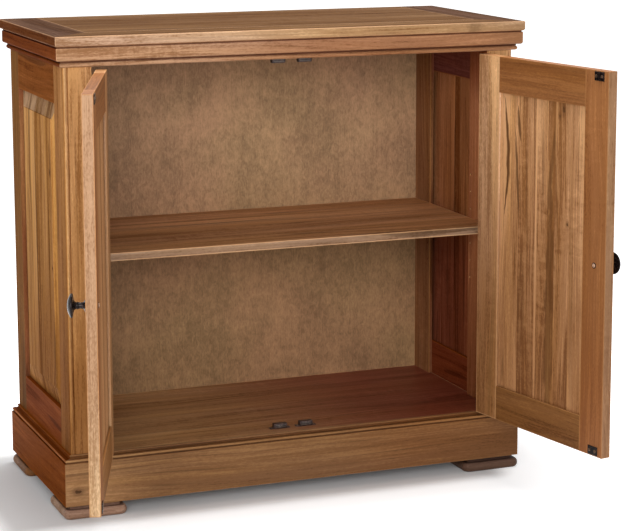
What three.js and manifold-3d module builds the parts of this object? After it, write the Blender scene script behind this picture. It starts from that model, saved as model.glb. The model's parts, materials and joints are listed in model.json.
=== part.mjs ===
// A two-door huntboard: a low wooden cupboard on a moulded plinth and four pad feet.
// Units are millimetres. X runs to the right, Y to the back and Z up.
// The case is drawn about its own centre line, with its front face at Y = 0, and the
// finished group is moved at the end so that its origin is the middle of its footprint.
import * as THREE from 'three';
import { mergeVertices } from 'three/addons/utils/BufferGeometryUtils.js';
import Module from 'manifold-3d';

// Driving dimensions of the whole piece
const overallHeight = 965;
const caseHalfWidth = 484;
const caseDepth = 430;
const frameThickness = 22;
const postFrontWidth = 57;
const floorTop = 129;

// Fits between pieces
const jointGap = 0.3;
const mitreGap = 0.3;
const seatGap = 0.2;
const cutOverrun = 1;

// Top board
const topThickness = 20;
const topSideOverhang = 20;
const topFrontOverhang = 22;
const topBackOverhang = 18;
const topRailWidth = 82;
const topUpperEase = 1.5;
const topUnderRound = 5;

// Cornice under the top
const beadOut = 9;
const beadHeight = 9;
const lowerQuirk = 3.7;
const bandOut = 17.5;
const bandHeight = 25.5;
const bandRound = 5;
const upperQuirk = 2.8;
const quirkRecess = 2.4;

// Plinth, the moulding on its top edge, and feet
const plinthOut = 17.5;
const plinthBottom = 27;
const plinthEase = 1.5;
const baseQuirk = 1.6;
const baseQuirkRecess = 3.4;
const baseBeadHeight = 5.8;
const baseBeadOut = 16;
const coveOut = 2.5;
const coveHeight = 3.8;
const filletOut = 4.6;
const filletHeight = 2.6;
const footSize = 131;
const footSideOut = 20.5;
const footFrontOut = 23;
const footRearOut = 0.5;
const footThickness = 19.5;
const footNose = 8;
const footCorner = 16;
const neckInset = 9;

// Side frames
const postSideWidth = 72;
const rearStileWidth = 65;
const pilasterThickness = 8;
const frontPilasterStart = 50;
const frontPilasterWidth = 90;
const rearPilasterWidth = 79;
const cornerBead = 7.5;
const cornerQuirk = 1.8;
const sideTopRailHeight = 119;
const sideBottomRailRise = 76;
const railLap = 10;

// Panels and their grooves
const grooveDepth = 8;
const grooveWidth = 7;
const tongueThickness = 6;
const tongueClearance = 1;
const panelRecess = 6.5;
const fieldSetback = 1;
const bevelWidth = 34;
const fieldStep = 1.4;
const fieldStepWidth = 0.6;

// Back, floor, header and shelf
const backThickness = 6;
const backRabbet = 10;
const floorThickness = 19;
const headerDepth = 60;
const shelfThickness = 16;
const shelfTop = 526.5;
const shelfFront = 24;
const shelfRearGap = 3;
const shelfEndGap = 1.5;

// Shelf pins and their rows of holes
const pinRadius = 2.5;
const pinHoleRadius = 2.8;
const pinReach = 9;
const pinHoleInset = 9;
const pinHoleSpacing = 38;
const pinHolesAbove = 3;
const pinHolesBelow = 3;
const pinSides = 16;

// Doors
const doorThickness = 21;
const doorTopGap = 4;
const doorBottomGap = 4;
const hingeGap = 2;
const meetingGap = 3;
const doorStileWidth = 70;
const doorTopRailHeight = 74;
const doorBottomRailHeight = 72;
const doorPanelRecess = 5;
const rightDoorAngle = 100;
const leftDoorAngle = 109.2;

// Hinges
const pinOutboard = 2.5;
const pinAhead = 9.5;
const barrelRadius = 4.5;
const barrelBore = 2.5;
const hingePinRadius = 2.2;
const hingeLength = 62;
const knuckleGap = 0.4;
const pinTip = 1.2;
const leafThickness = 1.6;
const leafReach = 27;
const leafRelief = 5.2;
const leafSeat = 0.9;
const mortiseDepth = 1.2;
const hingeInset = 110;
const barrelSides = 20;

// Knobs
const knobRadius = 22.3;
const knobInset = 34;
const knobProjection = 35;
const knobSides = 28;
const shankRadius = 2;
const shankHoleRadius = 2.6;
const screwHeadRadius = 4.2;
const screwHeadHeight = 2;

// Catches and strike plates
const catchWidth = 44;
const catchDepth = 18;
const catchPlate = 1.6;
const catchBodyWidth = 29;
const catchBodyDepth = 14;
const catchHeight = 11;
const catchSetback = 2.5;
const catchSlot = 1.6;
const strikeWidth = 29;
const strikeHeight = 18;
const strikeThickness = 1.4;
const strikeEdge = 12.5;
const strikeInset = 2;
const strikeChamfer = 0.5;

const quarterTurn = Math.PI / 2;

// The corner bead starts at this angle, in quarter turns, where it leaves its quirk
const beadStartAngle = -1.65;
const roundSteps = 6;

// Levels and faces worked out from the driving dimensions
const topUnderside = overallHeight - topThickness;
const corniceHeight = beadHeight + lowerQuirk + bandHeight + upperQuirk;
const openingTop = topUnderside - corniceHeight;
const openingHalfWidth = caseHalfWidth - postFrontWidth;
const baseMouldHeight = baseQuirk + baseBeadHeight + coveHeight + filletHeight;
const plinthTop = floorTop - baseMouldHeight;
const topHalfWidth = caseHalfWidth + topSideOverhang;
const sideInner = caseHalfWidth - frameThickness;
const pilasterInner = sideInner - pilasterThickness;
const rearStileFront = caseDepth - rearStileWidth;
const backFront = caseDepth - backThickness;
const frontPilasterEnd = frontPilasterStart + frontPilasterWidth;
const rearPilasterStart = backFront - rearPilasterWidth;
const sideTopRailBottom = topUnderside - sideTopRailHeight;
const sideBottomRailTop = floorTop + sideBottomRailRise;
const backHalfWidth = sideInner + backRabbet;
const sideGrooveInner = sideInner + panelRecess - (grooveWidth - tongueThickness) / 2;
const doorBottom = floorTop + doorBottomGap;
const doorTop = openingTop - doorTopGap;
const doorWidth = openingHalfWidth - hingeGap - meetingGap / 2;
const floorUnderside = floorTop - floorThickness;
const shelfUnderside = shelfTop - shelfThickness;
const catchCentre = meetingGap / 2 + strikeEdge + strikeWidth / 2;

// Finishes
const stain = (color, roughness) => new THREE.MeshStandardMaterial({ color, roughness, metalness: 0 });
const metal = (color, roughness) => new THREE.MeshStandardMaterial({ color, roughness, metalness: 0.85 });
const caseWood = stain(0xa8734a, 0.42);
const topWood = stain(0x8a6349, 0.36);
const doorWood = stain(0xb8865a, 0.42);
const insideWood = stain(0x6e4227, 0.5);
const backPly = stain(0x86684b, 0.6);
const bronze = metal(0x2a2320, 0.45);
const steel = metal(0x4a4038, 0.4);

// Manifold joins and cuts
const wasm = await Module();
wasm.setup();

function solidOf(geometry) {
  const bare = geometry.clone();
  bare.deleteAttribute('normal');
  bare.deleteAttribute('uv');
  const merged = mergeVertices(bare);
  return new wasm.Manifold(new wasm.Mesh({
    numProp: 3,
    vertProperties: new Float32Array(merged.attributes.position.array),
    triVerts: new Uint32Array(merged.index.array),
  }));
}

function geometryOf(solid) {
  const mesh = solid.getMesh();
  const geometry = new THREE.BufferGeometry();
  geometry.setAttribute('position', new THREE.BufferAttribute(mesh.vertProperties, 3));
  geometry.setIndex(new THREE.BufferAttribute(mesh.triVerts, 1));
  return geometry;
}

function cut(geometry, tools) {
  const solid = tools.reduce((rest, tool) => rest.subtract(solidOf(tool)), solidOf(geometry));
  return geometryOf(solid);
}

function join(geometries) {
  const [first, ...rest] = geometries.map(solidOf);
  return geometryOf(rest.reduce((whole, piece) => whole.add(piece), first));
}

// Basic shapes
function slab(...spans) {
  const sizes = spans.map(([from, to]) => Math.abs(to - from));
  const centres = spans.map(([from, to]) => (from + to) / 2);
  return new THREE.BoxGeometry(...sizes).translate(...centres);
}

// An outline in plan, given as [x, y] points, drawn up from z0 to z1
function upright(points, z0, z1) {
  const shape = new THREE.Shape(points.map(([x, y]) => new THREE.Vector2(x, y)));
  const geometry = new THREE.ExtrudeGeometry(shape, { depth: z1 - z0, bevelEnabled: false });
  return geometry.translate(0, 0, z0);
}

// A profile in [y, z] points drawn along X. Outward is -Y, and a mitred end grows by the
// distance that each point stands outward, so that two runs meet on the diagonal.
function run(profile, start, end, { startMitre = false, endMitre = false } = {}) {
  const shape = new THREE.Shape(profile.map(([y, z]) => new THREE.Vector2(y, z)));
  const geometry = new THREE.ExtrudeGeometry(shape, { depth: end - start, bevelEnabled: false });
  const place = geometry.attributes.position;
  const middle = (end - start) / 2;
  for (let i = 0; i < place.count; i += 1) {
    const y = place.getX(i);
    const z = place.getY(i);
    const atEnd = place.getZ(i) > middle;
    const mitred = atEnd ? endMitre : startMitre;
    const grow = mitred ? -y - mitreGap / 2 : 0;
    const x = atEnd ? end + grow : start - grow;
    place.setXYZ(i, x, y, z);
  }
  return geometry;
}

// A closed solid through a stack of rings that have the same number of points each
function stack(rings) {
  const count = rings[0].length;
  const positions = rings.flat(2);
  const index = [];
  for (let level = 0; level + 1 < rings.length; level += 1) {
    for (let i = 0; i < count; i += 1) {
      const a = level * count + i;
      const b = level * count + ((i + 1) % count);
      index.push(a, b, b + count, a, b + count, a + count);
    }
  }
  const last = (rings.length - 1) * count;
  for (let i = 1; i + 1 < count; i += 1) {
    index.push(0, i + 1, i, last, last + i, last + i + 1);
  }
  const geometry = new THREE.BufferGeometry();
  geometry.setAttribute('position', new THREE.Float32BufferAttribute(positions, 3));
  geometry.setIndex(index);
  return geometry;
}

// Points along an arc, from one angle to another in quarter turns
function arc(cx, cy, radius, from, to, steps = roundSteps) {
  return Array.from({ length: steps + 1 }, (_, i) => {
    const angle = quarterTurn * (from + ((to - from) * i) / steps);
    return [cx + radius * Math.cos(angle), cy + radius * Math.sin(angle)];
  });
}

function rod(radius, length, sides) {
  return new THREE.CylinderGeometry(radius, radius, length, sides);
}

const pieces = new THREE.Group();

function add(name, geometry, material, parent = pieces) {
  const mesh = new THREE.Mesh(geometry, material);
  mesh.name = name;
  parent.add(mesh);
  return mesh;
}

// Runs that go round the front and both sides: one mitred piece for each
function addRound(names, profile, material, { half, front, back }) {
  add(names[0], run(profile, -half, half, { startMitre: true, endMitre: true }), material)
    .position.y = front;
  const left = add(names[1], run(profile, -back, -front, { endMitre: true }), material);
  left.rotation.z = -quarterTurn;
  left.position.x = -half;
  const right = add(names[2], run(profile, front, back, { startMitre: true }), material);
  right.rotation.z = quarterTurn;
  right.position.x = half;
}

// Top board: a mitred frame round a field of long boards
const topRailProfile = [
  [topRailWidth, topUnderside],
  [topRailWidth, overallHeight],
  ...arc(topUpperEase, overallHeight - topUpperEase, topUpperEase, 1, 2, 3),
  ...arc(topUnderRound, topUnderside + topUnderRound, topUnderRound, 2, 3),
];
addRound(['top_front_rail', 'top_left_end', 'top_right_end'], topRailProfile, topWood, {
  half: topHalfWidth,
  front: -topFrontOverhang,
  back: caseDepth + topBackOverhang,
});
const fieldHalfWidth = topHalfWidth - topRailWidth;
add('top_field', slab(
  [-fieldHalfWidth, fieldHalfWidth],
  [topRailWidth - topFrontOverhang, caseDepth + topBackOverhang],
  [topUnderside, overallHeight],
), topWood);

// Cornice: a half-round bead, a flat band with a rounded foot, and a quirk under the top
const beadRadius = beadHeight / 2;
const bandBottom = openingTop + beadHeight + lowerQuirk;
const bandTop = bandBottom + bandHeight;
const corniceProfile = [
  [0, openingTop],
  ...arc(beadRadius - beadOut, openingTop + beadRadius, beadRadius, 3, 1),
  [quirkRecess - beadOut, openingTop + beadHeight],
  [quirkRecess - beadOut, bandBottom],
  ...arc(bandRound - bandOut, bandBottom + bandRound, bandRound, 3, 2),
  [-bandOut, bandTop],
  [quirkRecess - bandOut, bandTop],
  [quirkRecess - bandOut, topUnderside],
  [0, topUnderside],
];
const aroundCase = { half: caseHalfWidth, front: 0, back: caseDepth };
addRound(['cornice_front', 'cornice_left', 'cornice_right'], corniceProfile, caseWood, aroundCase);

// Plinth boards, each with a quirk, a bead, a cove and a fillet worked on its top edge
const baseBeadRadius = baseBeadHeight / 2;
const baseBeadBottom = plinthTop + baseQuirk;
const coveBottom = baseBeadBottom + baseBeadHeight;
const coveTop = coveBottom + coveHeight;
const plinthProfile = [
  [0, plinthBottom],
  [-plinthOut, plinthBottom],
  ...arc(plinthEase - plinthOut, plinthTop - plinthEase, plinthEase, 2, 1, 3),
  [baseQuirkRecess - plinthOut, plinthTop],
  [baseQuirkRecess - plinthOut, baseBeadBottom],
  ...arc(baseBeadRadius - baseBeadOut, baseBeadBottom + baseBeadRadius, baseBeadRadius, 3, 1),
  ...arc(-coveOut - coveHeight, coveTop, coveHeight, 3, 4, 4),
  [-filletOut, coveTop],
  [-filletOut, floorTop],
  [0, floorTop],
];
addRound(['plinth_front', 'plinth_left', 'plinth_right'], plinthProfile, caseWood, aroundCase);

// Pad feet: a round-nosed square pad under a smaller neck
function roundedSquare(half, corner, z) {
  const reach = half - corner;
  return [[1, 1, 0], [-1, 1, 1], [-1, -1, 2], [1, -1, 3]].flatMap(([sx, sy, turn]) =>
    arc(sx * reach, sy * reach, corner, turn, turn + 1, 5).map(([x, y]) => [x, y, z]));
}

function foot() {
  const half = footSize / 2;
  const noseHalf = footThickness / 2;
  const noseRings = arc(0, 0, 1, -1, 1, 8).map(([out, up]) => roundedSquare(
    half - footNose * (1 - out), footCorner - footNose * (1 - out), noseHalf + noseHalf * up));
  const neck = [footThickness, plinthBottom].map((z) =>
    roundedSquare(half - footNose - neckInset / 2, footCorner - footNose, z));
  return stack([...noseRings, ...neck]);
}

const footCentreX = caseHalfWidth + footSideOut - footSize / 2;
const footRows = { front: footSize / 2 - footFrontOut, rear: caseDepth + footRearOut - footSize / 2 };
for (const [row, y] of Object.entries(footRows)) {
  for (const [hand, x] of [['left', -footCentreX], ['right', footCentreX]]) {
    add(`${row}_${hand}_foot`, foot(), caseWood).position.set(x, y, 0);
  }
}

// Raised panel lying in the plane of [a, b], with its field facing along +c.
// place turns [a, b, c] into a point of the cabinet or door.
function raisedPanel(a0, a1, b0, b1, back, tongueFront, fieldFace, place) {
  const ring = (inset, c) => [
    [a0 + inset, b0 + inset], [a1 - inset, b0 + inset], [a1 - inset, b1 - inset], [a0 + inset, b1 - inset],
  ].map(([a, b]) => place(a, b, c));
  const shoulder = grooveDepth;
  const bevelEnd = shoulder + bevelWidth;
  return stack([
    ring(0, back),
    ring(0, tongueFront),
    ring(shoulder, tongueFront),
    ring(bevelEnd, fieldFace - fieldStep),
    ring(bevelEnd + fieldStepWidth, fieldFace),
  ]);
}

// Case sides. hand is -1 on the left and 1 on the right.
const postTop = topUnderside;
const pinHoleZ = shelfUnderside - seatGap - pinRadius;
const frontPinY = frontPilasterEnd - pinHoleInset;
const rearPinY = rearPilasterStart + pinHoleInset;
const pinLevels = Array.from({ length: pinHolesAbove + pinHolesBelow + 1 }, (_, i) =>
  pinHoleZ + (i - pinHolesBelow) * pinHoleSpacing);

function pinHoles(hand, y) {
  const length = pilasterThickness + 2 * cutOverrun;
  const centre = hand * (pilasterInner + pilasterThickness / 2);
  return pinLevels.map((z) =>
    rod(pinHoleRadius, length, pinSides).rotateZ(quarterTurn).translate(centre, y, z));
}

// The mortises that the hinge leaves of the case lie in
const hingeLevels = { upper: doorTop - hingeInset, lower: doorBottom + hingeInset };
const pinX = openingHalfWidth + pinOutboard;

function leafMortise(hand, z) {
  const half = hingeLength / 2 + jointGap;
  return slab(
    [hand * (openingHalfWidth - cutOverrun), hand * (openingHalfWidth + mortiseDepth)],
    [-cutOverrun, leafReach - pinAhead + jointGap],
    [z - half, z + half],
  );
}

function cornerPost(hand) {
  const bead = cornerBead / 2;
  const groove = sideGrooveInner;
  const outline = [
    [openingHalfWidth, 0],
    [caseHalfWidth - cornerBead - cornerQuirk, 0],
    [caseHalfWidth - cornerBead - cornerQuirk / 2, cornerQuirk],
    [caseHalfWidth - cornerBead, cornerQuirk],
    ...arc(caseHalfWidth - bead, bead, bead, beadStartAngle, 0),
    [caseHalfWidth, postSideWidth],
    [groove + grooveWidth, postSideWidth],
    [groove + grooveWidth, postSideWidth - grooveDepth],
    [groove, postSideWidth - grooveDepth],
    [groove, postSideWidth],
    [sideInner, postSideWidth],
    [sideInner, frontPilasterEnd],
    [pilasterInner, frontPilasterEnd],
    [pilasterInner, frontPilasterStart],
    [sideInner, frontPilasterStart],
    [sideInner, frameThickness],
    [openingHalfWidth, frameThickness],
  ].map(([x, y]) => [hand * x, y]);
  const mortises = Object.values(hingeLevels).map((z) => leafMortise(hand, z));
  return cut(upright(outline, plinthBottom, postTop), [...pinHoles(hand, frontPinY), ...mortises]);
}

function rearStile(hand) {
  const groove = sideGrooveInner;
  const outline = [
    [caseHalfWidth, rearStileFront],
    [caseHalfWidth, caseDepth],
    [backHalfWidth, caseDepth],
    [backHalfWidth, backFront],
    [pilasterInner, backFront],
    [pilasterInner, rearPilasterStart],
    [sideInner, rearPilasterStart],
    [sideInner, rearStileFront],
    [groove, rearStileFront],
    [groove, rearStileFront + grooveDepth],
    [groove + grooveWidth, rearStileFront + grooveDepth],
    [groove + grooveWidth, rearStileFront],
  ].map(([x, y]) => [hand * x, y]);
  return cut(upright(outline, plinthBottom, postTop), pinHoles(hand, rearPinY));
}

// A side rail in section, with its panel groove on the edge at grooveZ. into is the way
// that the groove goes into the rail, up or down.
function sideRail(hand, z0, z1, grooveZ, into) {
  const groove = sideGrooveInner;
  const rail = slab([hand * sideInner, hand * caseHalfWidth], [postSideWidth, rearStileFront], [z0, z1]);
  return cut(rail, [slab(
    [hand * groove, hand * (groove + grooveWidth)],
    [postSideWidth - cutOverrun, rearStileFront + cutOverrun],
    [grooveZ - into * cutOverrun, grooveZ + into * grooveDepth],
  )]);
}

for (const [side, hand] of [['left', -1], ['right', 1]]) {
  add(`${side}_corner_post`, cornerPost(hand), caseWood);
  add(`${side}_rear_stile`, rearStile(hand), caseWood);
  add(`${side}_side_top_rail`, sideRail(hand, sideTopRailBottom, postTop, sideTopRailBottom, 1), caseWood);
  add(`${side}_side_bottom_rail`, sideRail(
    hand, floorUnderside - railLap, sideBottomRailTop, sideBottomRailTop, -1), caseWood);
  const lap = grooveDepth - tongueClearance;
  const tongueBack = sideInner + panelRecess;
  // [a, b] runs with y and z on the right side, and the other way on the left, which keeps faces out
  const place = hand > 0 ? (a, b, c) => [c, a, b] : (a, b, c) => [-c, -a, b];
  const ends = [postSideWidth - lap, rearStileFront + lap];
  const [a0, a1] = hand > 0 ? ends : [-ends[1], -ends[0]];
  add(`${side}_side_panel`, raisedPanel(
    a0, a1, sideBottomRailTop - lap, sideTopRailBottom + lap,
    tongueBack, tongueBack + tongueThickness, caseHalfWidth - fieldSetback, place), caseWood);
}

// Header over the doors, back, floor and shelf
add('front_header', slab(
  [-openingHalfWidth, openingHalfWidth], [0, headerDepth], [openingTop, topUnderside]), insideWood);
const backReach = backHalfWidth - jointGap;
add('back_panel', slab(
  [-backReach, backReach], [backFront, caseDepth], [plinthBottom, topUnderside]), backPly);

const halfFloor = [
  [openingHalfWidth, 0],
  [openingHalfWidth, frameThickness],
  [sideInner, frameThickness],
  [sideInner, frontPilasterStart],
  [pilasterInner, frontPilasterStart],
  [pilasterInner, frontPilasterEnd],
  [sideInner, frontPilasterEnd],
  [sideInner, rearPilasterStart],
  [pilasterInner, rearPilasterStart],
  [pilasterInner, backFront],
];
const otherHalf = halfFloor.map(([x, y]) => [-x, y]).reverse();
add('floor_panel', upright([...halfFloor, ...otherHalf], floorUnderside, floorTop), insideWood);

const shelfHalfWidth = pilasterInner - shelfEndGap;
add('shelf', slab(
  [-shelfHalfWidth, shelfHalfWidth], [shelfFront, backFront - shelfRearGap], [shelfUnderside, shelfTop]),
insideWood);

const shelfPinLength = pinReach + pilasterThickness - seatGap;
for (const [row, y] of [['front', frontPinY], ['rear', rearPinY]]) {
  for (const [side, hand] of [['left', -1], ['right', 1]]) {
    const pin = rod(pinRadius, shelfPinLength, pinSides).rotateZ(quarterTurn);
    add(`shelf_pin_${row}_${side}`, pin, steel)
      .position.set(hand * (pilasterInner - pinReach + shelfPinLength / 2), y, pinHoleZ);
  }
}

// Catches: one for each door on the floor and one under the header
function catchBody(up) {
  const plate = slab([-catchWidth / 2, catchWidth / 2], [0, catchDepth], [0, catchPlate]);
  const body = slab([-catchBodyWidth / 2, catchBodyWidth / 2], [0, catchBodyDepth], [0, catchHeight]);
  const middle = catchHeight / 2;
  const slot = slab(
    [-catchBodyWidth / 2 + catchPlate, catchBodyWidth / 2 - catchPlate],
    [-cutOverrun, catchSlot],
    [middle - catchSlot / 2, middle + catchSlot / 2],
  );
  const whole = cut(join([plate, body]), [slot]);
  return up ? whole : whole.rotateY(2 * quarterTurn);
}

const catchY = doorThickness + catchSetback;
for (const [level, up, z] of [['bottom', true, floorTop], ['top', false, openingTop]]) {
  for (const [side, hand] of [['left', -1], ['right', 1]]) {
    add(`${level}_catch_${side}`, catchBody(up), bronze).position.set(hand * catchCentre, catchY, z);
  }
}

// Hinges. Both halves are drawn about the pin, with the door closed. toward is the way
// from the pin to the door: -1 for the right door and 1 for the left.
const knuckle = (hingeLength - 2 * knuckleGap) / 3;

function leafPlate(toward, near, y0, y1, z0, z1) {
  return slab([toward * near, toward * (near + leafThickness)], [y0, y1], [z0, z1]);
}

function caseLeaf(toward) {
  const half = hingeLength / 2;
  const near = pinOutboard - leafSeat;
  const tabs = [[-half, -half + knuckle], [half - knuckle, half]];
  const barrels = tabs.map(([z0, z1]) =>
    rod(barrelRadius, knuckle, barrelSides).rotateX(quarterTurn).translate(0, 0, (z0 + z1) / 2));
  return join([
    leafPlate(toward, near, leafRelief, leafReach, -half, half),
    ...tabs.map(([z0, z1]) => leafPlate(toward, near, 0, leafRelief + leafThickness, z0, z1)),
    ...barrels,
    rod(hingePinRadius, hingeLength + 2 * pinTip, barrelSides).rotateX(quarterTurn),
  ]);
}

function doorLeaf(toward) {
  const half = hingeLength / 2;
  const near = pinOutboard + hingeGap - leafSeat + jointGap / 2;
  const barrel = rod(barrelRadius, knuckle, barrelSides).rotateX(quarterTurn);
  const bore = rod(barrelBore, knuckle + 2 * cutOverrun, barrelSides).rotateX(quarterTurn);
  return cut(join([
    leafPlate(toward, near, leafRelief + leafThickness, leafReach, -half, half),
    leafPlate(toward, near, 0, leafReach, -knuckle / 2, knuckle / 2),
    barrel,
  ]), [bore]);
}

// Doors, drawn closed about their hinge pin. u is the distance from the door's hinge edge.
const knobProfileShares = [
  [0.60, 0.00], [0.61, 0.04], [0.54, 0.08], [0.34, 0.10], [0.28, 0.15], [0.255, 0.28], [0.255, 0.46],
  [0.30, 0.57], [0.42, 0.635], [0.68, 0.68], [0.95, 0.705], [1.00, 0.75], [0.985, 0.80], [0.92, 0.85],
  [0.78, 0.90], [0.58, 0.945], [0.34, 0.98],
];

function knob() {
  const front = -jointGap;
  const screwBack = doorThickness + jointGap;
  const screwEnd = screwBack + screwHeadHeight;
  const points = [
    [0, screwEnd],
    [screwHeadRadius * 0.8, screwEnd],
    [screwHeadRadius, screwBack + screwHeadHeight / 2],
    [screwHeadRadius, screwBack],
    [shankRadius, screwBack],
    [shankRadius, front],
    ...knobProfileShares.map(([r, w]) => [knobRadius * r, front - knobProjection * w]),
    [0, -knobProjection],
  ].map(([r, y]) => new THREE.Vector2(r, y));
  return new THREE.LatheGeometry(points.reverse(), knobSides);
}

function addDoor(side, hand, openAngle) {
  const door = new THREE.Group();
  door.position.set(hand * pinX, -pinAhead, 0);
  door.rotation.z = hand * THREE.MathUtils.degToRad(openAngle);
  pieces.add(door);
  const at = (u) => -hand * (pinOutboard + hingeGap + u);
  const span = (u0, u1) => [at(u0), at(u1)].sort((a, b) => a - b);
  const face = pinAhead;
  const inner = face + doorThickness;
  const panelBack = inner - doorPanelRecess;
  const tongueFront = panelBack - tongueThickness;
  const slack = (grooveWidth - tongueThickness) / 2;
  const grooveY = [tongueFront - slack, panelBack + slack];
  const railBottom = doorTop - doorTopRailHeight;
  const railTop = doorBottom + doorBottomRailHeight;
  const freeStile = doorWidth - doorStileWidth;

  // Stiles run the full height, with a stopped groove for the panel
  const stile = (u0, u1) => slab(span(u0, u1), [face, inner], [doorBottom, doorTop]);
  const stileGroove = (u0, u1) => slab(
    span(u0, u1), grooveY, [railTop - grooveDepth, railBottom + grooveDepth]);
  const mortiseHalf = hingeLength / 2 + jointGap;
  const mortises = Object.values(hingeLevels).map((z) => slab(
    span(-cutOverrun, mortiseDepth),
    [face - cutOverrun, leafReach + jointGap],
    [z - mortiseHalf, z + mortiseHalf],
  ));
  add(`${side}_door_hinge_stile`, cut(stile(0, doorStileWidth), [
    stileGroove(doorStileWidth - grooveDepth, doorStileWidth + cutOverrun), ...mortises]), doorWood, door);
  const knobU = doorWidth - knobInset;
  const knobZ = (doorBottom + doorTop) / 2;
  const knobHole = rod(shankHoleRadius, doorThickness + 2 * cutOverrun, pinSides)
    .translate(at(knobU), face + doorThickness / 2, knobZ);
  add(`${side}_door_free_stile`, cut(stile(freeStile, doorWidth), [
    stileGroove(freeStile - cutOverrun, freeStile + grooveDepth), knobHole]), doorWood, door);

  // Rails stand between the stiles
  const railSpan = span(doorStileWidth + jointGap, freeStile - jointGap);
  const railGroove = (z0, z1) => slab(
    [railSpan[0] - cutOverrun, railSpan[1] + cutOverrun], grooveY, [z0, z1]);
  add(`${side}_door_top_rail`, cut(slab(railSpan, [face, inner], [railBottom, doorTop]), [
    railGroove(railBottom - cutOverrun, railBottom + grooveDepth)]), doorWood, door);
  add(`${side}_door_bottom_rail`, cut(slab(railSpan, [face, inner], [doorBottom, railTop]), [
    railGroove(railTop - grooveDepth, railTop + cutOverrun)]), doorWood, door);

  // The panel's field faces out of the closed door, along -Y
  const lap = grooveDepth - tongueClearance;
  const [x0, x1] = span(doorStileWidth - lap, freeStile + lap);
  add(`${side}_door_panel`, raisedPanel(
    x0, x1, railTop - lap, railBottom + lap,
    -panelBack, -tongueFront, -(face + fieldSetback), (a, b, c) => [a, -c, b]), doorWood, door);

  add(`${side}_knob`, knob(), bronze, door).position.set(at(knobU), face, knobZ);
  const [s0, s1] = span(doorWidth - strikeEdge - strikeWidth, doorWidth - strikeEdge);
  const strikeLevels = { top: doorTop - strikeInset - strikeHeight, bottom: doorBottom + strikeInset };
  for (const [level, z0] of Object.entries(strikeLevels)) {
    const ring = (inset, y) => [
      [s0 + inset, y, z0 + inset],
      [s0 + inset, y, z0 + strikeHeight - inset],
      [s1 - inset, y, z0 + strikeHeight - inset],
      [s1 - inset, y, z0 + inset],
    ];
    const lowY = inner + jointGap;
    add(`${side}_${level}_strike`, stack([
      ring(0, lowY),
      ring(0, lowY + strikeThickness - strikeChamfer),
      ring(strikeChamfer, lowY + strikeThickness),
    ]), bronze, door);
  }
  for (const [level, z] of Object.entries(hingeLevels)) {
    add(`${side}_${level}_hinge_door_leaf`, doorLeaf(-hand), bronze, door).position.z = z;
    add(`${side}_${level}_hinge_case_leaf`, caseLeaf(-hand), bronze)
      .position.set(hand * pinX, -pinAhead, z);
  }
}

addDoor('left', -1, leftDoorAngle);
addDoor('right', 1, rightDoorAngle);

// The origin is the middle of the footprint, with the doors as they stand open
const cabinet = new THREE.Group();
cabinet.add(pieces);
cabinet.updateMatrixWorld(true);
const reach = new THREE.Box3().setFromObject(pieces, true);
const middle = reach.getCenter(new THREE.Vector3());
pieces.position.set(-middle.x, -middle.y, -reach.min.z);
cabinet.updateMatrixWorld(true);

export default cabinet;
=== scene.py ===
# %% [markdown]
# # A two-door huntboard
# This lesson dresses a low wooden cupboard that was drawn as solids in a CAD program. The
# solids arrive as a frame: every board has its own name and already stands in its place, in
# metres. Blender adds what the solids lack, which is stained and waxed wood with the grain
# along each board, soft arrises, turned knobs, screws, light and a camera.

import json
import math

import bmesh
import bpy
from mathutils import Matrix, Vector


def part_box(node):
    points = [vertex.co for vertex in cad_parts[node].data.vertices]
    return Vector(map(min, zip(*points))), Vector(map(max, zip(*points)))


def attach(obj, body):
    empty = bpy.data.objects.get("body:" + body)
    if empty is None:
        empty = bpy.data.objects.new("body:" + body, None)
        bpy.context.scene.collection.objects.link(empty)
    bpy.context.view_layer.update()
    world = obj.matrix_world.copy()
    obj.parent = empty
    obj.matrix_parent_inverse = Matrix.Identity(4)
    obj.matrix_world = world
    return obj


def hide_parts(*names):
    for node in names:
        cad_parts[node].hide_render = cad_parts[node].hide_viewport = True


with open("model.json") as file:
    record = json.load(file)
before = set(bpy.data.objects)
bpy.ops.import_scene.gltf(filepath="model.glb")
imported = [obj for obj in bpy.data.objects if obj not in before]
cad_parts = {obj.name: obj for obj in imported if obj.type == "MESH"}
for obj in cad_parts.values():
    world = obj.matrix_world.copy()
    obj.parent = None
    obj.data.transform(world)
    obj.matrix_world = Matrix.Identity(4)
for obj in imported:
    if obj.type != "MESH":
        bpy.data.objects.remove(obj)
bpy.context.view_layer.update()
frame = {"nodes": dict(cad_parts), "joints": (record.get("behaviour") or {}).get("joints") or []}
nodes = frame["nodes"]
MM = 0.001
X, Y, Z = Vector((1, 0, 0)), Vector((0, 1, 0)), Vector((0, 0, 1))
print("boards and fittings in the frame:", len(nodes))

# %% [markdown]
# ## Where the case stands
# The frame's origin is the middle of the whole footprint with the doors open, which is an odd
# place to measure from. The floor board runs the full width of the case with its front edge
# in the plane of the case front, so its box gives the centre line and the front face.

# %% Find the case and the doors
floor_low, floor_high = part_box("floor_panel")
case_front = Vector(((floor_low.x + floor_high.x) / 2, floor_low.y, 0))
joints = {joint["name"]: joint for joint in frame["joints"]}


def open_angle(joint):
    """A door's own angle in the frame, which is how far its hinge can turn back to closed."""
    turn = -math.radians(joint["range_deg"][0])
    return turn * joint["axis"][2]


door_turn = {side: open_angle(joints[f"{side}_door_hinge"]) for side in ("left", "right")}
print("case front at", [round(v, 4) for v in case_front])
print("doors turned by", {side: round(math.degrees(turn), 1) for side, turn in door_turn.items()})

# %% [markdown]
# ## The camera
# A camera can be matched to a photograph by fitting its place, heading and lens to corners
# that can be measured in the picture. That was done beforehand, and the numbers below are its
# result. The photographer shifted the lens to keep uprights parallel. A little of that shift
# is kept here, and the rest is made up by tilting the camera down.

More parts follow.
